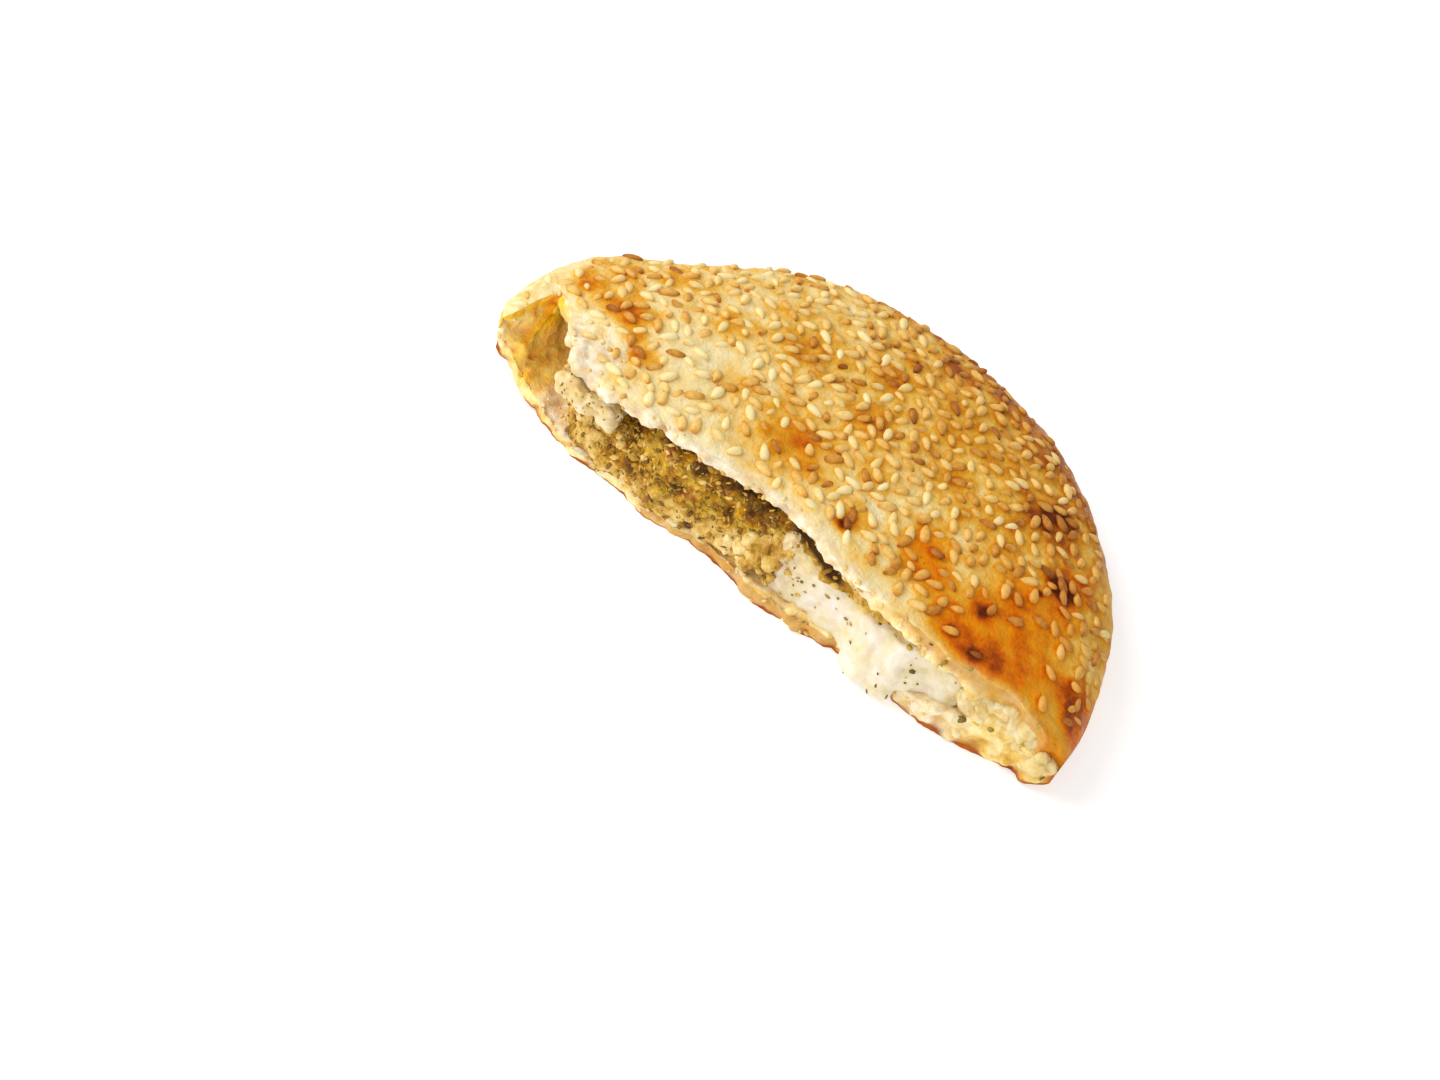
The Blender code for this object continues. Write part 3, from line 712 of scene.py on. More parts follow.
def known_of_bread(places, known, seed_places):
    """All that the bread's relief and looks depend on, at every vertex."""
    x, y, z = places.T
    at = SimpleNamespace(x=x, y=y, z=z, places=places, **known)
    at.dome, at.under, at.low_tear, at.wall, at.top_tear = (at.span == n for n in range(len(BREAD_SPANS)))
    at.peeled = peeled_at(x, y) * at.dome
    at.seeded = beside_seeds(x, y, seed_places) * at.dome
    at.near_rim = smooth_step(0.93, 1.0, rim_share(x, y) + 0.025 * waviness(x, y, 6 * MM, 45.0))
    at.torn = torn_share(at)
    at.rough = crumb_relief(at)
    at.curdy = curdy_share(at)
    at.hollow = hollow_share(at)
    return at


def baked_bread(seed_places, material):
    """Both crusts and the crumb between them in one piece."""
    obj, known = formed_sphere("baked_bread", BREAD_STATIONS, sum(BREAD_SPANS.values()), bread_point)
    mesh = obj.data
    at = known_of_bread(places_of(mesh), known, seed_places)
    put_places(mesh, at.places + normals_of(mesh) * (bread_relief(at) * MM)[:, None])
    keep_above_table(mesh)
    damp = rise(39, 45, at.x + 3 * MM * waviness(at.x, at.z, 3 * MM, 44.0)) * smooth_step(0.1, 0.5, at.torn)
    oily_edge = 0.85 * at.top_tear * rise(-49, -52, at.x) + 0.25 * at.low_tear * (at.x < -40 * MM)
    looks = {"browning_and_seed_shadow": bread_browning_and_seed_shadow(at), "torn": at.torn, "glazed": glazed_at(at.x, at.y) * at.dome,
             "underside": at.under * (1 - at.near_rim), "oil": at.hollow + oily_edge,
             "curdy": milky_share(at), "damp": damp, "pit_shade_and_tan": pit_shade_and_tan_share(at)}
    for name, values in looks.items():
        put_attribute(mesh, name, values)
    mesh.materials.append(material)
    mesh.transform(Matrix.Translation(HALF_MOVE))
    return obj


# Sesame seeds

def skin_normal(x, y):
    step = 0.8 * MM
    slope_x = (top_height(x + step, y) - top_height(x - step, y)) / (2 * step)
    slope_y = (top_height(x, y + step) - top_height(x, y - step)) / (2 * step)
    return Vector((-float(slope_x), -float(slope_y), 1)).normalized()


def seed_density(x, y):
    """How thickly the seeds lie, from 0 to 1. The browned front right and the torn front left stay bare."""
    return 1 - 0.98 * max(patch(x, y, *place) for place in BARE_PATCHES)


def draw_seeds(draw, places, count, spacing, density, reach=SEEDS_REACH, tries=60000):
    """Adds places (x, y, turn, size) until there are this many, each clear of the others."""
    for _ in range(tries):
        if len(places) >= count:
            break
        angle = draw.uniform(-0.12, math.pi + 0.12)
        radius = PIE_RADIUS * reach * math.sqrt(draw.random())
        x, y = radius * math.cos(angle), radius * math.sin(angle)
        turn, size, chance = draw.uniform(0, math.pi), draw.uniform(0.88, 1.12), draw.random()
        clear_of_tear = y > float(tear_line(TOP_TEAR, np.array(x))) + CLEAR_OF_TEAR
        spaced = all(math.hypot(x - p[0], y - p[1]) > spacing for p in places)
        if clear_of_tear and spaced and chance < density(x, y):
            places.append((x, y, turn, size))


def more_density(x, y):
    """How thickly the smaller seeds lie: more so towards the back right."""
    thick_back = rise(-10, 30, x * 0.5 + y)
    bare_right = 0.98 * patch(x, y, 44, 6, 15, 14)
    for place in THINLY_SEEDED:
        thick_back = mix(thick_back, -0.85, patch(x, y, *place))
    bare_rim = 0.8 * bell(x, 47 * MM, 7 * MM) * bell(y, 31 * MM, 9 * MM)
    thin_edge = 0.6 * smooth_step(0.92, 0.98, rim_share(x, y)) * rise(10, -20, x)
    on_skin = rim_share(x, y) < 0.96
    bareness = (1 - bare_right) * (1 - bare_rim) * (1 - thin_edge)
    return on_skin * seed_density(x, y) * (0.5 + 0.5 * thick_back) * bareness


def all_seed_places():
    """Places (x, y, turn, size) of the large seeds, then of the others."""
    draw = random.Random(RANDOM_SEED)
    places = []
    draw_seeds(draw, places, FIRST_SEEDS, FIRST_SPACING, seed_density, tries=10**6)
    draw_seeds(draw, places, FIRST_SEEDS + MORE_SEEDS, MORE_SPACING, more_density, MORE_SEEDS_REACH)
    places += [(x * MM, y * MM, turn, 1.0) for x, y, turn in RIM_SEEDS]
    return places


def toasting(draw, x, y):
    """How toasted a seed is. Those at the back right and on brown skin are more so, and a few much more."""
    on_brown = min(0.4 * at_point(browning_at, x, y), 0.34)
    toast = 0.09 + 0.1 * float(rise(-10, 40, x + y / 2)) + on_brown + draw.gauss(0, TOAST_SPREAD)
    if draw.random() < DARK_SEED_SHARE:
        toast += draw.uniform(0.12, 0.34)
    return toast


def seed_on_skin(draw, x, y, turn, large):
    """A seed's place and turns. The large ones lie flat, and the others tilt and sink as they fell."""
    tip, sink = 0, SEED_SINK
    if not large:
        tip = draw.gauss(0, SEED_TILT)
        sink = SEED_SINK + draw.uniform(-0.02, 0.22) + 0.16 * float(smooth_step(0.88, 0.95, rim_share(x, y)))
    normal = skin_normal(x, y)
    upright = normal.to_track_quat("Z", "Y").to_matrix()
    lie = upright @ Matrix.Rotation(turn, 3, "Z") @ Matrix.Rotation(tip, 3, "Y")
    place = Vector((x, y, at_point(top_height, x, y))) + normal * SEED_THICKNESS * (0.5 - sink)
    return (*(place + HALF_MOVE), *lie.to_euler())


def sesame_seeds(places, material):
    draw = random.Random(RANDOM_SEED + 1)
    rows = []
    for number, (x, y, turn, size) in enumerate(places):
        large = number < FIRST_SEEDS
        on_skin = seed_on_skin(draw, x, y, turn, large)
        toast = toasting(draw, x, y)
        size *= 1 if large else draw.uniform(0.8, 1.02)
        rows.append((*on_skin, size, toast, at_point(glazed_at, x, y)))
    rows = np.array(rows)
    mesh = bpy.data.meshes.new("sesame_seeds")
    mesh.from_pydata(rows[:, :3].tolist(), [], [])
    lie = mesh.attributes.new("lie", "FLOAT_VECTOR", "POINT")
    lie.data.foreach_set("vector", np.ravel(rows[:, 3:6]).astype(np.float32))
    put_attribute(mesh, "size", rows[:, 6])
    put_attribute(mesh, "toast", np.clip(rows[:, 7], 0, 1))
    put_attribute(mesh, "oiled", rows[:, 8])
    obj = add_to_scene("sesame_seeds", mesh)
    sizes = {"Length": SEED_LENGTH, "Width": SEED_WIDTH, "Thickness": SEED_THICKNESS, "Material": material}
    grow(obj, seed_tree(), sizes)
    return obj


# Node trees

class Plan:
    """A node tree that is written a node at a time."""

    def __init__(self, tree):
        self.tree = tree

    def feed(self, socket, value):
        """Links another node's output to the socket, or sets its value."""
        if isinstance(value, bpy.types.NodeSocket):
            self.tree.links.new(value, socket)
        else:
            socket.default_value = value

    def node(self, kind, settings=None, **inputs):
        """Adds a node. Each input is given by its name, or by its number as at_0."""
        made = self.tree.nodes.new(kind)
        for key, value in (settings or {}).items():
            setattr(made, key, value)
        for key, value in inputs.items():
            which = int(key[3:]) if key.startswith("at_") else key.replace("_", " ")
            self.feed(made.inputs[which], value)
        return made

    def math(self, operation, a, b=0.0, clamp=False):
        settings = {"operation": operation, "use_clamp": clamp}
        return self.node("ShaderNodeMath", settings, at_0=a, at_1=b).outputs[0]

    def added(self, *values):
        """The sum of these values."""
        total = values[0]
        for value in values[1:]:
            total = self.math("ADD", total, value)
        return total

    def times(self, share, value, clamp=False):
        return self.math("MULTIPLY", value, share, clamp)

    def named(self, name, kind="FLOAT"):
        return self.node("GeometryNodeInputNamedAttribute", {"data_type": kind}, Name=name).outputs[0]

    def end(self, bits, material, out):
        """Makes the strewn bits real, gives them their material and ends the tree."""
        real = self.node("GeometryNodeRealizeInstances", Geometry=bits)
        done = self.node("GeometryNodeSetMaterial", Geometry=real.outputs[0], Material=material)
        self.feed(out, done.outputs[0])
        return self.tree


def geometry_plan(name, sizes, **others):
    """A Geometry Nodes tree with one geometry in and out, these sizes, and other inputs by name and kind."""
    tree = bpy.data.node_groups.new(name, "GeometryNodeTree")
    tree.interface.new_socket("Geometry", in_out="INPUT", socket_type="NodeSocketGeometry")
    for title, kind in {**dict.fromkeys(sizes, "Float"), **others}.items():
        tree.interface.new_socket(title, in_out="INPUT", socket_type="NodeSocket" + kind)
    tree.interface.new_socket("Geometry", in_out="OUTPUT", socket_type="NodeSocketGeometry")
    plan = Plan(tree)
    return plan, plan.node("NodeGroupInput").outputs, plan.node("NodeGroupOutput").inputs[0]


def grow(obj, tree, values):
    """Runs a Geometry Nodes tree on the object and keeps the result as its plain mesh."""
    grown = obj.modifiers.new(tree.name, "NODES")
    grown.node_group = tree
    for item in tree.interface.items_tree:
        if item.in_out == "INPUT" and item.name in values:
            grown[item.identifier] = values[item.name]
    graph = bpy.context.evaluated_depsgraph_get()
    evaluated = obj.evaluated_get(graph)
    mesh = bpy.data.meshes.new_from_object(evaluated, preserve_all_data_layers=True, depsgraph=graph)
    obj.modifiers.clear()
    obj.data = mesh


def seed_tree():
    """One plump pointed seed on each point, turned and sized by the point's own values."""
    sizes = ("Length", "Width", "Thickness")
    plan, given, out = geometry_plan("seeds on the skin", sizes, Material="Material")
    ball = plan.node("GeometryNodeMeshUVSphere", Segments=9, Rings=6, Radius=0.5)
    across, upwards, along = plan.node(
        "ShaderNodeSeparateXYZ", at_0=plan.node("GeometryNodeInputPosition").outputs[0]).outputs
    taper = plan.added(1.0, plan.times(-SEED_TAPER, plan.added(along, 0.5)))
    wide = plan.times(taper, plan.times(given["Width"], across))
    placed = plan.node("ShaderNodeCombineXYZ", at_0=plan.times(given["Length"], along), at_1=wide,
                       at_2=plan.times(given["Thickness"], upwards))
    marked = plan.node("GeometryNodeStoreNamedAttribute", {"data_type": "FLOAT", "domain": "POINT"},
                       Geometry=ball.outputs["Mesh"], Name="along", Value=along)
    seed = plan.node("GeometryNodeSetPosition", Geometry=marked.outputs[0], Position=placed.outputs[0])
    smooth = plan.node("GeometryNodeSetShadeSmooth", Geometry=seed.outputs[0])
    turn = plan.node("FunctionNodeEulerToRotation", at_0=plan.named("lie", "FLOAT_VECTOR")).outputs[0]
    many = plan.node("GeometryNodeInstanceOnPoints", Points=given["Geometry"], Instance=smooth.outputs[0],
                     Rotation=turn, Scale=plan.named("size"))
    return plan.end(many.outputs[0], given["Material"], out)


def scatter_tree():
    """Bits strewn over a surface where its attribute strewn says so, each with its own tone."""
    sizes = ("Most", "Length", "Width", "Thickness", "Smallest")
    plan, given, out = geometry_plan("strewn bits", sizes, Draw="Int", Material="Material")
    thick = plan.times(given["Most"], plan.named("strewn"))
    dots = plan.node("GeometryNodeDistributePointsOnFaces", {"distribute_method": "RANDOM"},
                     Mesh=given["Geometry"], Density=thick, Seed=given["Draw"])
    bit = plan.node("GeometryNodeMeshIcoSphere", Radius=0.5, Subdivisions=1)
    form = plan.node("ShaderNodeCombineXYZ", at_0=given["Length"], at_1=given["Width"],
                     at_2=given["Thickness"])
    soft = plan.node("GeometryNodeSetShadeSmooth", Geometry=bit.outputs["Mesh"])
    shaped = plan.node("GeometryNodeTransform", Geometry=soft.outputs[0], Scale=form.outputs[0])
    tilt = plan.node("FunctionNodeRandomValue", {"data_type": "FLOAT_VECTOR"}, Seed=given["Draw"],
                     at_0=(-BIT_TILT, -BIT_TILT, -BIT_TURN), at_1=(BIT_TILT, BIT_TILT, BIT_TURN))
    tilted = plan.node("FunctionNodeEulerToRotation", at_0=tilt.outputs[0])
    lie = plan.node("FunctionNodeRotateRotation", {"rotation_space": "LOCAL"},
                    Rotation=dots.outputs["Rotation"], Rotate_By=tilted.outputs[0])
    size = plan.node("FunctionNodeRandomValue", {"data_type": "FLOAT"}, at_2=given["Smallest"], at_3=1.0)
    many = plan.node("GeometryNodeInstanceOnPoints", Points=dots.outputs["Points"],
                     Instance=shaped.outputs[0], Rotation=lie.outputs[0], Scale=size.outputs[1])
    tone = plan.node("FunctionNodeRandomValue", {"data_type": "FLOAT"}, Seed=TONE_DRAW)
    toned = plan.node("GeometryNodeStoreNamedAttribute", {"data_type": "FLOAT", "domain": "INSTANCE"},
                      Geometry=many.outputs[0], Name="tone", Value=tone.outputs[1])
    return plan.end(toned.outputs[0], given["Material"], out)


def strew(name, surface, strewn, tree, material):
    """A new piece: bits strewn over this surface. strewn gives each vertex its share of the most."""
    mesh = surface.data.copy()
    put_attribute(mesh, "strewn", strewn)
    obj = add_to_scene(name, mesh)
    most, length, width, thickness, smallest, draw = BITS[name]
    grow(obj, tree, {"Most": most, "Length": length * MM, "Width": width * MM, "Thickness": thickness * MM,
                     "Smallest": smallest, "Draw": draw, "Material": material})
    obj.data.name = name
    return obj


# Form of the filling

def fill_back(x):
    """How far back the filling reaches."""
    front = tear_line(TOP_TEAR, x)
    return tear_line(BOTTOM_TEAR, x) + FILL_BACK_SHARE * pocket_depth(x, front)


def showing(x):
    """0 where the cheese lies hidden behind the za'atar and 1 where it shows in the torn side."""
    return smooth_step(CHEESE_SHOWS_FROM - 8 * MM, CHEESE_SHOWS_FROM + 4 * MM, x)


def cheese_front(x):
    """Where the cheese ends in front. It bulges out at the right, and is hidden at the left."""
    set_back = mix(CHEESE_SET_BACK, CHEESE_SET_BACK_RIGHT, rise(10, 18, x))
    bulge = np.exp(-(((x - BULGE_X) / BULGE_WIDTH) ** 4))
    shown = tear_line(BOTTOM_TEAR, x) + set_back - BULGE_REACH * bulge
    return mix(CHEESE_HIDDEN_FRONT, shown, showing(x))


def cheese_top(x, y):
    rising = mix(CHEESE_SHARE_FRONT, CHEESE_SHARE_LEFT, rise(0, 16, y - cheese_front(x)))
    share = mix(rising, CHEESE_SHARE_RIGHT, showing(x))
    return mix(pocket_floor(x, y), pocket_ceiling(x, y), share)


def fill_section(station, around, left, right, front, low, high, lean):
    """Point of a layer between two heights. Its section is a box with rounded edges whose front leans
    back by this much, and both its ends are rounded off."""
    x = mix(left, right, mix(station, (1 - np.cos(math.pi * station)) / 2, FILL_END_CROWDING))
    depth, height = -np.cos(2 * math.pi * around), np.sin(2 * math.pi * around)
    norm = (np.abs(depth) ** EDGE_SQUARENESS + np.abs(height) ** EDGE_SQUARENESS) ** (1 / EDGE_SQUARENESS)
    depth, height = depth / norm, height / norm
    taper = np.sqrt(np.clip(1 - np.abs(2 * station - 1) ** END_SQUARENESS, 0, 1))
    front_y = front(x) + lean * (height + 1) / 2
    back_y = fill_back(x)
    middle_y = (front_y + back_y) / 2
    y = mix(front_y, back_y, ((depth + 1) / 2) ** FILL_FRONT_CROWDING)
    y = middle_y + (y - middle_y) * taper
    middle_z = (low(x, y) + high(x, y)) / 2
    z = middle_z + (high(x, y) - low(x, y)) / 2 * height * taper
    return np.stack([x, y, z], axis=-1)


def cheese_low(x, y):
    """The cheese lies on the pocket's floor, and its bulge hangs down over the crust's edge."""
    over_edge = rise(-1.2, -2.6, y - tear_line(BOTTOM_TEAR, x))
    return mix(pocket_floor(x, y) - CLING, CHEESE_ABOVE_TABLE, over_edge)


def cheese_high(x, y):
    droop = 1 - CHEESE_DROOP * rise(-0.5, -4, y - tear_line(BOTTOM_TEAR, x))
    return (cheese_top(x, y) + CHEESE_SWELL_RIGHT * rise(22, 32, x)) * droop


def cheese_point(station, around):
    ends, heights = (CHEESE_LEFT, CHEESE_RIGHT), (cheese_low, cheese_high)
    return fill_section(station, around, *ends, cheese_front, *heights, CHEESE_LEAN), None


def zaatar_front(x):
    in_front = tear_line(BOTTOM_TEAR, x) + 0.5 * MM
    on_top = tear_line(TOP_TEAR, x) + ZAATAR_SET_BACK
    return mix(in_front, on_top, showing(x))


def zaatar_low(x, y):
    """Za'atar lies on the pocket's floor in front of the cheese, and on the cheese behind its front."""
    behind = rise(-4.5, -0.8, y - cheese_front(x))
    inside = smooth_step(CHEESE_LEFT - 3 * MM, CHEESE_LEFT + 2 * MM, x)
    return mix(pocket_floor(x, y) - CLING, cheese_top(x, y) - CLING, behind * inside)


def zaatar_high(x, y):
    """Za'atar reaches up to the crust, but stays under the lump of curds that lies on it."""
    below_lump = LUMP_CENTRE.z - LUMP_HALF_SIZE.z + CLING
    beside = np.hypot(x - LUMP_CENTRE.x, (y - LUMP_CENTRE.y) * 0.8) / LUMP_HALF_SIZE.x
    ceiling = pocket_ceiling(x, y) - CLING
    top = mix(np.minimum(below_lump, ceiling), ceiling, smooth_step(1.0, 2.2, beside))
    return np.maximum(top, zaatar_low(x, y) + ZAATAR_THINNEST)


def zaatar_point(station, around):
    ends, heights = (ZAATAR_LEFT, ZAATAR_RIGHT), (zaatar_low, zaatar_high)
    return fill_section(station, around, *ends, zaatar_front, *heights, ZAATAR_LEAN), None


def unit_ball(station, around):
    """Points of a ball with a radius of 1, whose tips lie along x."""
    tilt, turn = math.pi * station, 2 * math.pi * around
    return np.stack([-np.cos(tilt), np.sin(tilt) * np.cos(turn), np.sin(tilt) * np.sin(turn)], axis=-1)


def lump_point(station, around):
    """Point of the lump of curds at the left."""
    unit = unit_ball(station, around)
    uneven = 1 + 0.1 * np.sin(5 * unit[:, 0] + 2 * unit[:, 1]) - 0.08 * np.cos(6 * unit[:, 1] - unit[:, 2])
    return np.array(LUMP_CENTRE) + unit * np.array(LUMP_HALF_SIZE) * uneven[:, None], None


def front_share(x, y, front, depth):
    """1 on the torn side and 0 further back than this depth, where the dough hides the filling."""
    return 1 - smooth_step(0.5 * depth, depth, y - front(x))


def shown_relief(places, front, form):
    """Relief of the part that shows in the torn side. form(places) gives it."""
    x, y, _ = places.T
    shown = front_share(x, y, front, RELIEF_DEPTH) > 0
    relief = np.zeros(len(places))
    relief[shown] = form(places[shown])
    return relief


def cheese_relief(places):
    def form(at):
        return bumps(at, CHEESE_BUMPS) + bulges(at, 3.4, 4.0, 0.5)

    return shown_relief(places, cheese_front, form) + FILLING_SWELL


def zaatar_relief(places):
    def form(at):
        grains, clumps = bulges(at, 1.2, 2.0, 0.55, 0.2), bulges(at, 2.6, 3.0, 0.55)
        return bumps(at, ZAATAR_BUMPS) + 0.5 * grains + 1.3 * clumps

    return shown_relief(places, zaatar_front, form) + FILLING_SWELL


def curd_relief(places):
    return bumps(places, CURD_BUMPS) + 1.5 * bulges(places, 2.3, 6.0, 0.6)


def fine_filling(name, stations, around, point, relief, material):
    """A filling with its relief, in millimetres along its normals. relief(places) gives it. Returns the
    object and its places in the whole pie."""
    obj, _ = formed_sphere(name, stations, around, point)
    places, normals = places_of(obj.data), normals_of(obj.data)
    put_places(obj.data, places + normals * (relief(places) * MM)[:, None])
    obj.data.materials.append(material)
    obj.data.transform(Matrix.Translation(HALF_MOVE))
    return obj, places


# Shade and stains of the filling

def pale_share(x):
    """How pale the za'atar is: golden towards the left, and creamy along the cheese on the right."""
    return np.maximum(rise(0, 9, x), 0.56 * rise(-27, -36, x))


def below_crust(x, y, z):
    """How far a place lies under the upper crust, or under its torn edge if it is in front of that."""
    return pocket_ceiling(x, np.maximum(y, tear_line(TOP_TEAR, x) + 0.5 * MM)) - z


def zaatar_shade_and_clumps(x, y, z):
    """How dark each place of the za'atar is: painted shade under the upper crust, a painted shadow in the
    slit below the crust's torn edge, and the za'atar's own dark clumps.
    """
    below = below_crust(x, y, z)
    # Painted shade: darker where the za'atar lies under the upper crust
    shade_under_crust = 1 - rise(1.5, 5.5, below + 1.2 * MM * waviness(x, z, 4 * MM, 95.0))
    # Painted shadow in the slit just below the crust's torn edge
    slit_shadow_span = np.maximum(stretch(x, -1, 4, 13, 18), 0.6 * bell(x, -14 * MM, 4 * MM))
    deep = np.maximum(shade_under_crust * bell(x, -10 * MM, 22 * MM), 1.7 * slit_shadow_span * rise(4.4, 2.4, below))
    uneven = 0.9 * MM * waviness(x, z, 1.8 * MM, 99.0)
    for spot_x, spot_z, radius, strength in DARK_CLUMPS:
        away = np.hypot(x - spot_x * MM, z - spot_z * MM) + uneven
        deep = np.maximum(deep, strength * bell(away, 0, radius * MM))
    return deep


def zaatar_paleness(x, z):
    """How pale the za'atar is: along both ends of it, and just above the lower crust."""
    above = z - pocket_floor(x, tear_line(BOTTOM_TEAR, x)) + 1.6 * MM * waviness(x, z, 4 * MM, 98.0)
    at_ends = pale_share(x + 2 * MM * waviness(x, z, 4 * MM, 96.0))
    return np.maximum(at_ends, 0.7 * rise(6.2, 2.6, above - 0.1 * (x + 10 * MM)) * (x > -34 * MM))


def cheese_stain(x, z):
    """Where za'atar has stained the cheese: at its left end."""
    return 0.6 * rise(9, -1, x + 4 * MM * waviness(x, z, 4 * MM, 97.0) - 0.7 * (z - 6 * MM))


# Lumps and crumbs on the torn side

def soft_lumps(name, listed, material):
    """Small uneven lumps, listed as (place, half size), in one piece."""
    joined = bmesh.new()
    for number, (place, half_size) in enumerate(listed):
        def point(station, around):
            unit = unit_ball(station, around)
            uneven = 1 + 0.45 * lumps(unit, 1.1, 10.0 * number) + 0.24 * lumps(unit, 0.45, 10.0 * number + 3)
            return np.array(place) + unit * np.array(half_size) * uneven[:, None], None

        lump, _ = formed_sphere(name, LUMP_STATIONS, LUMP_AROUND, point)
        joined.from_mesh(lump.data)
        bpy.data.objects.remove(lump)
    mesh = bpy.data.meshes.new(name)
    joined.to_mesh(mesh)
    joined.free()
    mesh.shade_smooth()
    mesh.materials.append(material)
    mesh.transform(Matrix.Translation(HALF_MOVE))
    return add_to_scene(name, mesh)


def torn_face(x, height):
    """Place in the torn side at station x, and at this share of the bread's height."""
    low, high = (float(tear_line(line, np.array(x))) for line in (BOTTOM_TEAR, TOP_TEAR))
    z = mix(at_point(base_height, x, low), at_point(top_height, x, high), height)
    return Vector((x, mix(low, high, height), z))


def strewn_lumps(seed, count, across, heights, sizes, sunk):
    """Lumps spread over the torn side: between two stations and of two sizes, both in millimetres, and
    between two shares of its height. Each is sunk by this share of its size."""
    draw = random.Random(seed)
    listed = []
    for _ in range(count):
        size = draw.uniform(*sizes) * MM
        place = torn_face(draw.uniform(*across) * MM, draw.uniform(*heights)) + Vector((0, sunk * size, 0))
        listed.append((place, [size * draw.uniform(0.75, 1.3) for _ in range(3)]))
    return listed


def zaatar_clumps(material):
    """Lumps of za'atar where it meets the cheese, and at its left end."""
    listed = [lump for strewn in STREWN_ZAATAR for lump in strewn_lumps(*strewn)]
    for x, height, size in JOINT_LUMPS:
        listed.append((torn_face(x * MM, height) + Vector((0, JOINT_LUMPS_SUNK, 0)), [size * MM] * 3))
    obj = soft_lumps("zaatar_clumps", listed, material)
    tones = [(place.x / MM * 0.37) % 1 for place, _ in listed]
    tones = np.repeat(tones, len(obj.data.vertices) // len(listed))
    put_attribute(obj.data, "pale", 0.6 + 0.4 * tones)
    # No painted shade and no dark clumps on these lumps
    put_attribute(obj.data, "deep", 0 * tones)


def crumb_lumps(material):
    """Lumps of soft crumb at the right end and its tip."""
    listed = strewn_lumps(*STREWN_CRUMB)
    for aside, inward, up, size in TIP_LUMPS:
        place = torn_face(TIP_STATION, TIP_LUMPS_HEIGHT) + Vector((aside, inward, up)) * MM
        listed.append((place, [size * MM] * 3))
    soft_lumps("crumb_lumps", listed, material)


# Finishes

def colour(red, green, blue):
    """A display colour, given from 0 to 255, as the shader wants it."""
    shares = [value / 255 for value in (red, green, blue)]
    return *(((v + 0.055) / 1.055) ** 2.4 if v > 0.04 else v / 12.92 for v in shares), 1


class Finish(Plan):
    """A Principled material that is written a node at a time."""

    def __init__(self, name, **constants):
        self.material = bpy.data.materials.new(name)
        self.material.use_nodes = True
        super().__init__(self.material.node_tree)
        self.shader = self.tree.nodes["Principled BSDF"]
        for key, value in constants.items():
            self.shader.inputs[key.replace("_", " ")].default_value = value
        self.where = self.node("ShaderNodeTexCoord").outputs["Object"]

    def noise(self, length_mm, detail=3.0, roughness=0.55, distortion=0.0):
        made = self.node("ShaderNodeTexNoise", Vector=self.where, Scale=1000 / length_mm, Detail=detail,
                         Roughness=roughness, Distortion=distortion)
        return made.outputs[0]

    def cells(self, length_mm, output="Distance"):
        return self.node("ShaderNodeTexVoronoi", Vector=self.where, Scale=1000 / length_mm).outputs[output]

    def attribute(self, name):
        return self.node("ShaderNodeAttribute", {"attribute_name": name}).outputs["Fac"]

    def about_half(self, share, value):
        """A noise as a change up and down: this share of what it is above or below a half."""
        return self.times(share, self.math("SUBTRACT", value, 0.5))

    def ramp(self, value, stops, eased=False):
        """Colours along a value, each given as (place, red, green, blue)."""
        made = self.node("ShaderNodeValToRGB", at_0=value)
        made.color_ramp.interpolation = "EASE" if eased else "LINEAR"
        points = made.color_ramp.elements
        while len(points) < len(stops):
            points.new(0.5)
        for point, (place, *shade) in zip(points, stops):
            point.position = place
            point.color = colour(*shade)
        return made.outputs[0]

    def between(self, value, low, high, to_low=0.0, to_high=1.0):
        made = self.node("ShaderNodeMapRange", Value=value, From_Min=low, From_Max=high,
                         To_Min=to_low, To_Max=to_high)
        return made.outputs[0]

    def blend(self, share, a, b):
        return self.node("ShaderNodeMix", {"data_type": "RGBA"}, at_0=share, at_6=a, at_7=b).outputs[2]

    def bump(self, height, distance_mm, strength=1.0):
        made = self.node("ShaderNodeBump", Height=height, Distance=distance_mm * MM, Strength=strength)
        return made.outputs[0]

    def done(self, base, roughness, normal):
        for name, value in (("Base Color", base), ("Roughness", roughness), ("Normal", normal)):
            self.feed(self.shader.inputs[name], value)
        return self.material


# Colours along a value: (place, red, green, blue)
GLAZED_SKIN = ((0.0, 243, 226, 176), (0.12, 240, 211, 146), (0.25, 236, 192, 106), (0.36, 232, 172, 64),
               (0.46, 230, 156, 30), (0.56, 228, 138, 8), (0.66, 220, 114, 0), (0.78, 186, 82, 0),
               (0.9, 138, 54, 6), (1.0, 96, 36, 8))
DULL_SKIN = ((0.0, 244, 227, 176), (0.12, 241, 212, 144), (0.25, 237, 194, 104), (0.36, 229, 172, 60),
             (0.46, 219, 150, 34), (0.56, 206, 126, 20), (0.66, 188, 102, 14), (0.78, 160, 76, 12),
             (0.9, 122, 50, 8), (1.0, 90, 36, 10))
CRUMB = ((0.28, 236, 190, 102), (0.42, 247, 214, 140), (0.56, 253, 233, 174), (0.72, 255, 245, 212))
CURDS = ((0.28, 228, 196, 138), (0.44, 237, 215, 172), (0.62, 243, 234, 212))
DAMP_CRUMB = ((0.34, 204, 158, 60), (0.43, 228, 188, 96), (0.52, 244, 216, 140), (0.64, 251, 238, 196))
OILY_STRANDS = ((0.36, 250, 170, 0), (0.5, 254, 196, 6), (0.64, 255, 218, 48))
SESAME = ((0.0, 247, 229, 172), (0.16, 242, 210, 136), (0.32, 229, 181, 92), (0.46, 210, 149, 58),
          (0.64, 176, 106, 34), (1.0, 100, 52, 16))
OILED_SESAME = ((0.1, 240, 188, 104), (0.4, 228, 158, 58), (0.9, 158, 82, 18))
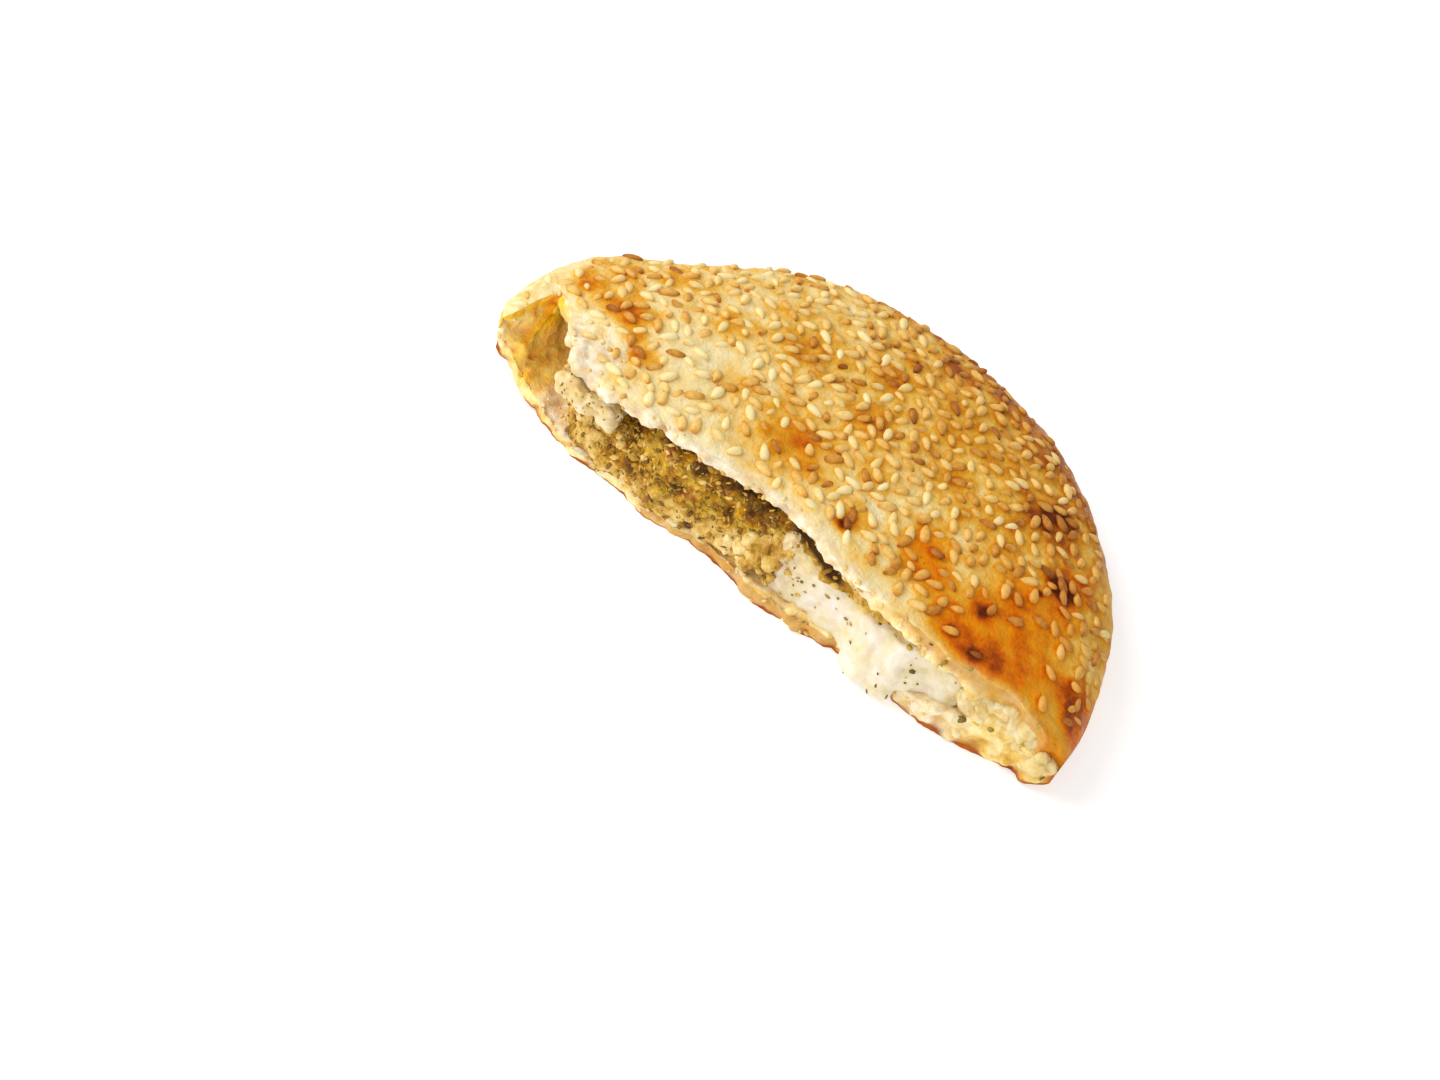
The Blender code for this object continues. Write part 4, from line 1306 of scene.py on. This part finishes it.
HALLOUMI = ((0.32, 211, 193, 138), (0.44, 228, 213, 175), (0.54, 232, 219, 196), (0.66, 237, 229, 215))
HERBED_HALLOUMI = ((0.32, 190, 152, 78), (0.44, 216, 185, 118), (0.56, 230, 208, 162), (0.7, 239, 228, 202))
SOFT_CRUMB = ((0.3, 206, 160, 76), (0.42, 231, 192, 112), (0.55, 246, 219, 157), (0.7, 253, 238, 202))
HERB_SPECKS = ((0.4, 130, 108, 34), (0.6, 196, 166, 70))
CHEESE_STAIN = ((0.38, 192, 150, 62), (0.62, 234, 204, 130))
GOLDEN_ZAATAR = ((0.1, 70, 38, 8), (0.26, 128, 78, 12), (0.39, 170, 112, 10), (0.5, 200, 145, 16),
                 (0.62, 222, 176, 44), (0.76, 240, 208, 110))
OLIVE_ZAATAR = ((0.1, 62, 42, 10), (0.26, 116, 84, 20), (0.39, 162, 122, 32), (0.5, 192, 150, 48),
                (0.62, 214, 180, 80), (0.76, 238, 214, 138))
RUDDY_ZAATAR = ((0.1, 60, 28, 12), (0.26, 112, 60, 24), (0.39, 156, 92, 34), (0.5, 186, 128, 44),
                (0.62, 210, 162, 70), (0.76, 236, 202, 124))
PALE_ZAATAR = ((0.3, 182, 134, 44), (0.42, 214, 172, 80), (0.54, 235, 202, 122), (0.7, 248, 228, 172))
HERBS = ((0.0, 74, 52, 12), (0.3, 118, 94, 22), (0.6, 158, 132, 36), (1.0, 194, 166, 64))
GRAINS = ((0.0, 116, 76, 14), (0.3, 160, 114, 20), (0.7, 192, 148, 36), (1.0, 222, 184, 84))
ZAATAR_CRUMBS = ((0.0, 96, 58, 18), (0.25, 142, 96, 22), (0.5, 178, 130, 28), (0.75, 204, 160, 54),
                 (1.0, 230, 196, 112))
DRY_CRUMBS = ((0.0, 210, 162, 78), (0.5, 234, 200, 126), (1.0, 244, 222, 170))
TABLE = ((0.3, 215, 215, 215), (0.7, 218, 218, 218))

# Single colours
FLOUR = colour(224, 190, 140)
# Painted shade in the crumb's pits, and the tan of its lower lip and upper rim
PIT_SHADE_AND_TAN = colour(196, 136, 44)
BUTTERY = colour(228, 214, 146)
# Dark brown of the painted shadow on the cheese in the slit under the crust
CHEESE_SHADE = colour(84, 58, 24)
# Dark brown of the za'atar's painted slit shadow and of its darkest clumps
DARK_CLUMPS_AND_SLIT_SHADOW = colour(74, 48, 18)


def skin_colour(f, shade):
    """Baked skin, glazed or dull, by how brown it is and by the painted shadow beside its seeds, and floury
    underneath.
    """
    skin = f.blend(f.attribute("glazed"), f.ramp(shade, DULL_SKIN), f.ramp(shade, GLAZED_SKIN))
    flour = f.between(f.noise(5.5, 3), 0.5, 0.66)
    return f.blend(f.attribute("underside"), skin, f.blend(f.times(0.5, flour), skin, FLOUR))


def crumb_colour(f, grain):
    """Torn crumb, with curds, a damp end, an oily hollow, painted shade in its pits and a tan on its lips."""
    lumpy = f.added(f.noise(2.2, 4), f.about_half(0.35, grain))
    crumb = f.blend(f.attribute("curdy"), f.ramp(lumpy, CRUMB), f.ramp(lumpy, CURDS))
    damp = f.ramp(f.added(f.times(0.5, lumpy), f.times(0.5, f.noise(4.5, 2))), DAMP_CRUMB)
    crumb = f.blend(f.attribute("damp"), crumb, damp)
    drawn_out = f.node("ShaderNodeMapping", Vector=f.where, Scale=(900, 900, 150)).outputs[0]
    strands = f.node("ShaderNodeTexNoise", Vector=drawn_out, Scale=1.0, Detail=3.0).outputs[0]
    crumb = f.blend(f.attribute("oil"), crumb, f.ramp(strands, OILY_STRANDS, eased=True))
    # Painted shade in the crumb's pits, and the tan of its lower lip and upper rim
    return f.blend(f.times(0.75, f.attribute("pit_shade_and_tan"), clamp=True), crumb, PIT_SHADE_AND_TAN)


def crust_finish():
    f = Finish("baked crust and crumb", Subsurface_Weight=0.12, Subsurface_Radius=(1.6, 1.0, 0.4),
               Subsurface_Scale=0.0012, Specular_IOR_Level=0.07)
    torn = f.attribute("torn")
    grain = f.noise(0.8, 5, 0.65)
    # The skin's browning, with the painted shadow beside its seeds
    shade = f.added(f.attribute("browning_and_seed_shadow"), f.about_half(0.42, f.noise(3.0, 4)), f.about_half(0.24, grain))
    base = f.blend(torn, skin_colour(f, shade), crumb_colour(f, grain))
    roughness = f.math("ADD", f.between(shade, 0.1, 0.7, 0.56, 0.3), f.times(0.25, torn), clamp=True)
    height = f.added(f.times(0.7, f.noise(1.5, 4)), f.times(0.3, f.noise(0.5, 3)))
    return f.done(base, roughness, f.bump(height, 0.8, 0.8))


def seed_finish():
    """Sesame. The ends of each seed are darker."""
    f = Finish("sesame", Subsurface_Weight=0.15, Subsurface_Radius=(1.2, 0.9, 0.4), Subsurface_Scale=0.001,
               Specular_IOR_Level=0.2)
    ends = f.math("POWER", f.math("ABSOLUTE", f.times(2.0, f.attribute("along"))), 3.0)
    fine = f.noise(0.8, 3)
    shade = f.added(f.attribute("toast"), f.times(0.28, ends), f.about_half(0.4, fine))
    oiled = f.ramp(shade, OILED_SESAME, eased=True)
    base = f.blend(f.times(0.5, f.attribute("oiled")), f.ramp(shade, SESAME), oiled)
    return f.done(base, f.between(fine, 0.3, 0.7, 0.46, 0.62), f.bump(f.noise(0.35, 2), 0.08, 0.5))


def halloumi_finish(name, stops, speckled, stained=False):
    """Moist soft cheese with buttery patches and specks of herb, or soft crumb, which looks alike. Where
    it is stained, the za'atar shows on it, and a painted shadow darkens it in the slit under the crust."""
    f = Finish(name, Subsurface_Weight=0.25, Subsurface_Radius=(2.0, 1.6, 1.0), Subsurface_Scale=0.002,
               Specular_IOR_Level=0.35)
    fine = f.noise(1.1, 4)
    base = f.ramp(f.added(f.times(0.75, f.noise(4.0, 4)), f.times(0.25, fine)), stops)
    base = f.blend(f.between(f.noise(5.0, 2), 0.5, 0.64, 0.0, 0.3), base, BUTTERY)
    specks = f.math("LESS_THAN", f.added(f.cells(2.6), f.times(0.4, fine)), speckled)
    base = f.blend(f.times(0.7, specks), base, f.ramp(f.noise(2.6, 1), HERB_SPECKS, eased=True))
    if stained:
        base = f.blend(f.attribute("stain"), base, f.ramp(fine, CHEESE_STAIN, eased=True))
        # Painted shadow in the slit under the upper crust
        base = f.blend(f.attribute("deep"), base, CHEESE_SHADE)
    height = f.added(f.times(0.6, f.noise(2.4, 4)), f.times(0.4, f.noise(0.7, 3)))
    return f.done(base, f.between(fine, 0.35, 0.65, 0.3, 0.52), f.bump(height, 0.7, 0.6))


def zaatar_finish():
    """Oily paste of herbs: golden with olive and ruddy patches, and pale where its places say so. It is
    darkened by painted shade under the crust and in the slit, and by its own dark clumps.
    """
    f = Finish("za'atar paste", Specular_IOR_Level=0.12)
    cell = f.node("ShaderNodeSeparateColor", Color=f.cells(1.3, "Color")).outputs[0]
    broad, fine, deep = f.noise(3.6, 4), f.noise(0.9, 4), f.attribute("deep")
    mottle = f.added(f.times(0.12, cell), f.times(0.64, broad), f.times(0.24, fine))
    # deep darkens the paste: painted shade under the crust and in the slit, and dark clumps
    shade = f.added(0.5, f.about_half(1.35, mottle), f.times(-0.27, deep))
    golden, olive, ruddy = (f.ramp(shade, stops) for stops in (GOLDEN_ZAATAR, OLIVE_ZAATAR, RUDDY_ZAATAR))
    paste = f.blend(f.between(f.noise(2.2, 2), 0.48, 0.58), golden, olive)
    paste = f.blend(f.between(f.noise(3.1, 2, 0.5, 0.6), 0.54, 0.62), paste, ruddy)
    base = f.blend(f.attribute("pale"), paste, f.ramp(shade, PALE_ZAATAR))
    # The painted shadow in the slit and the darkest clumps turn to a dark brown
    base = f.blend(f.between(deep, 1.0, 1.6), base, DARK_CLUMPS_AND_SLIT_SHADOW)
    height = f.added(f.noise(0.8, 4), f.times(-0.6, f.cells(0.9)))
    return f.done(base, f.between(broad, 0.3, 0.7, 0.42, 0.7), f.bump(height, 0.6, 0.8))


def bits_finish(name, stops, roughness):
    """Herbs, grains or crumbs, each in its own tone."""
    f = Finish(name, Specular_IOR_Level=0.4)
    shade = f.added(f.attribute("tone"), f.about_half(0.3, f.noise(0.6, 2)))
    rough = f.between(f.noise(0.5, 2), 0.3, 0.7, roughness - 0.12, roughness + 0.12)
    return f.done(f.ramp(shade, stops), rough, f.bump(f.noise(0.3, 2), 0.1, 0.5))


def floor_finish():
    f = Finish("pale table", Specular_IOR_Level=0.2, Emission_Color=(1, 1, 1, 1), Emission_Strength=0.5)
    base = f.ramp(f.noise(40, 2), TABLE, eased=True)
    return f.done(base, f.between(f.noise(30, 2), 0.3, 0.7, 0.8, 0.9), f.bump(f.noise(2.0, 2), 0.01, 0.1))


def food_finishes():
    return SimpleNamespace(
        crust=crust_finish(), sesame=seed_finish(), zaatar=zaatar_finish(),
        halloumi=halloumi_finish("halloumi", HALLOUMI, 0.2, stained=True),
        herbed=halloumi_finish("halloumi with herbs", HERBED_HALLOUMI, 0.28),
        soft_crumb=halloumi_finish("soft crumb", SOFT_CRUMB, 0.14),
        herbs=bits_finish("dried herbs", HERBS, 0.6), grains=bits_finish("za'atar grains", GRAINS, 0.55),
        zaatar_crumbs=bits_finish("za'atar crumbs", ZAATAR_CRUMBS, 0.6),
        crumbs=bits_finish("crumbs", DRY_CRUMBS, 0.7))


# Floor, light and camera

def lay_floor(material):
    shape = bmesh.new()
    bmesh.ops.create_grid(shape, x_segments=2, y_segments=2, size=3.0)
    mesh = bpy.data.meshes.new("table_top")
    shape.to_mesh(mesh)
    shape.free()
    mesh.materials.append(material)
    table = add_to_scene("table_top", mesh)


# The camera, as the photograph has it
AZIMUTH, ELEVATION, ROLL = math.radians(10.33), math.radians(44.9), math.radians(28.75)
CAMERA_DISTANCE = 0.65
CAMERA_TARGET = Vector((0, 25, 10)) * MM + HALF_MOVE
SENSOR_WIDTH = 36
PIXELS_PER_METRE = 5951
MIDDLE_IN_PHOTO = (854.05, 448.9)
PHOTO_WIDTH, PHOTO_HEIGHT = 1440, 1080
# Lamps: name, the way to it along the camera's right, up and back, distance, size, watts and tint
LAMPS = (("key light", (-0.5, 0.8, 0.5), 1.0, 0.75, 6.9, (1.0, 0.985, 0.96)),
         ("fill light", (-0.2, -0.4, 0.9), 1.1, 0.9, 4.0, (1.0, 1.0, 1.0)))
ROOM_LIGHT = 0.55


def view_axes():
    """The camera's right, up and back directions, with the photograph's roll."""
    level = Vector((math.sin(AZIMUTH), -math.cos(AZIMUTH), 0))
    back = level * math.cos(ELEVATION) + Vector((0, 0, math.sin(ELEVATION)))
    right = Vector((math.cos(AZIMUTH), math.sin(AZIMUTH), 0))
    up = back.cross(right)
    c, s = math.cos(ROLL), math.sin(ROLL)
    return right * c + up * s, up * c - right * s, back


def place_camera():
    """Aims the camera so that the food lies where the photograph has it."""
    right, up, back = view_axes()
    focal = PIXELS_PER_METRE * CAMERA_DISTANCE
    across = (MIDDLE_IN_PHOTO[0] - PHOTO_WIDTH / 2) / focal
    above = (PHOTO_HEIGHT / 2 - MIDDLE_IN_PHOTO[1]) / focal
    aim = Vector((across, above, -1)).normalized()
    turned = Matrix((right, up, back)).transposed() @ aim.rotation_difference(Vector((0, 0, -1))).to_matrix()
    camera = bpy.data.cameras.new("camera")
    camera.sensor_width = SENSOR_WIDTH
    camera.lens = focal / PHOTO_WIDTH * SENSOR_WIDTH
    camera.clip_start = 0.01
    obj = add_to_scene("camera", camera)
    obj.matrix_world = Matrix.Translation(CAMERA_TARGET + back * CAMERA_DISTANCE) @ turned.to_4x4()
    bpy.context.scene.camera = obj


def soft_light(name, direction, distance, size, watts, tint):
    light = bpy.data.lights.new(name, "AREA")
    light.shape = "DISK"
    light.size = size
    light.energy = watts
    light.color = tint
    obj = add_to_scene(name, light)
    towards = direction.normalized()
    turn = towards.to_track_quat("Z", "Y").to_matrix().to_4x4()
    obj.matrix_world = Matrix.Translation(towards * distance) @ turn


def light_studio():
    right, up, back = view_axes()
    for name, (aside, above, behind), *rest in LAMPS:
        soft_light(name, right * aside + up * above + back * behind, *rest)
    world = bpy.data.worlds.new("white room")
    bpy.context.scene.world = world
    world.use_nodes = True
    sky = world.node_tree.nodes["Background"]
    sky.inputs["Color"].default_value = (1, 1, 1, 1)
    sky.inputs["Strength"].default_value = ROOM_LIGHT
    bpy.context.scene.view_settings.view_transform = "Standard"


# The pieces

def bake_bread(finish):
    """The bread with its seeds."""
    seed_places = all_seed_places()
    bread = baked_bread(seed_places, finish.crust)
    sesame_seeds(seed_places, finish.sesame)
    return bread


def fill_bread(finish):
    """The fillings. Returns each with its places in the whole pie."""
    fineness = FILL_STATIONS, FILL_AROUND
    cheese = fine_filling("cheese_filling", *fineness, cheese_point, cheese_relief, finish.halloumi)
    zaatar = fine_filling("zaatar_filling", *fineness, zaatar_point, zaatar_relief, finish.zaatar)
    curds = fine_filling("cheese_curds", CURD_STATIONS, CURD_AROUND, lump_point, curd_relief, finish.herbed)
    return cheese, zaatar, curds


def dress_zaatar(zaatar, places, tree, finish):
    """Gives the za'atar its painted shade, dark clumps and pale places, and strews crumbs, grains and herbs
    over what shows of it.
    """
    x, y, z = places.T
    pale = zaatar_paleness(x, z)
    # deep holds painted shade under the crust and in the slit, and the za'atar's own dark clumps
    put_attribute(zaatar.data, "deep", zaatar_shade_and_clumps(x, y, z))
    put_attribute(zaatar.data, "pale", pale)
    shown = front_share(x, y, zaatar_front, SHOWN_DEPTH) * (1 - showing(x) * 0.5) * (1 - 0.6 * pale)
    strew("zaatar_crumbs", zaatar, shown, tree, finish.zaatar_crumbs)
    strew("zaatar_grains", zaatar, shown, tree, finish.grains)
    strew("herb_flakes", zaatar, shown, tree, finish.herbs)


def dress_cheese(cheese, places, tree, finish):
    """Stains the cheese, paints a shadow on it in the slit under the crust, and strews grains and herbs over
    what shows of it.
    """
    x, y, z = places.T
    shown = front_share(x, y, cheese_front, SHOWN_DEPTH) * showing(x)
    slit_shadow = stretch(x, 0, 4, 13, 18) * rise(3.4, 1.8, below_crust(x, y, z))
    put_attribute(cheese.data, "stain", cheese_stain(x, z))
    # deep on the cheese is a painted shadow in the slit under the crust
    put_attribute(cheese.data, "deep", 0.8 * slit_shadow)
    strew("grains_on_cheese", cheese, shown * (0.1 + 2.2 * rise(10, -3, x)), tree, finish.grains)
    strew("herbs_on_cheese", cheese, shown, tree, finish.herbs)


def dress_bread(bread, tree, finish):
    """Strews crumbs over the torn face, but for its oily hollow and right end, and herbs over that end."""
    x = places_of(bread.data)[:, 0]
    torn, oil = attribute_of(bread.data, "torn"), attribute_of(bread.data, "oil")
    strew("loose_crumbs", bread, torn * (1 - np.clip(oil * 2, 0, 1)) * (x < 38 * MM), tree, finish.crumbs)
    strew("herbs_on_crumb", bread, torn * (x > 30 * MM), tree, finish.herbs)


def main():
    place_camera()
    light_studio()
    lay_floor(floor_finish())
    finish = food_finishes()
    bread = bake_bread(finish)
    (cheese, cheese_places), (zaatar, zaatar_places), (curds, curd_places) = fill_bread(finish)
    zaatar_clumps(finish.zaatar)
    crumb_lumps(finish.soft_crumb)
    tree = scatter_tree()
    dress_zaatar(zaatar, zaatar_places, tree, finish)
    dress_cheese(cheese, cheese_places, tree, finish)
    strew("herbs_on_curds", curds, np.ones(len(curd_places)), tree, finish.grains)
    dress_bread(bread, tree, finish)

    for name, (slot, *nodes) in PIECES.items():
        piece = bpy.data.objects[name]
        keep_above_table(piece.data)
        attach(piece, "root")
        if nodes:
            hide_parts(*nodes)


main()
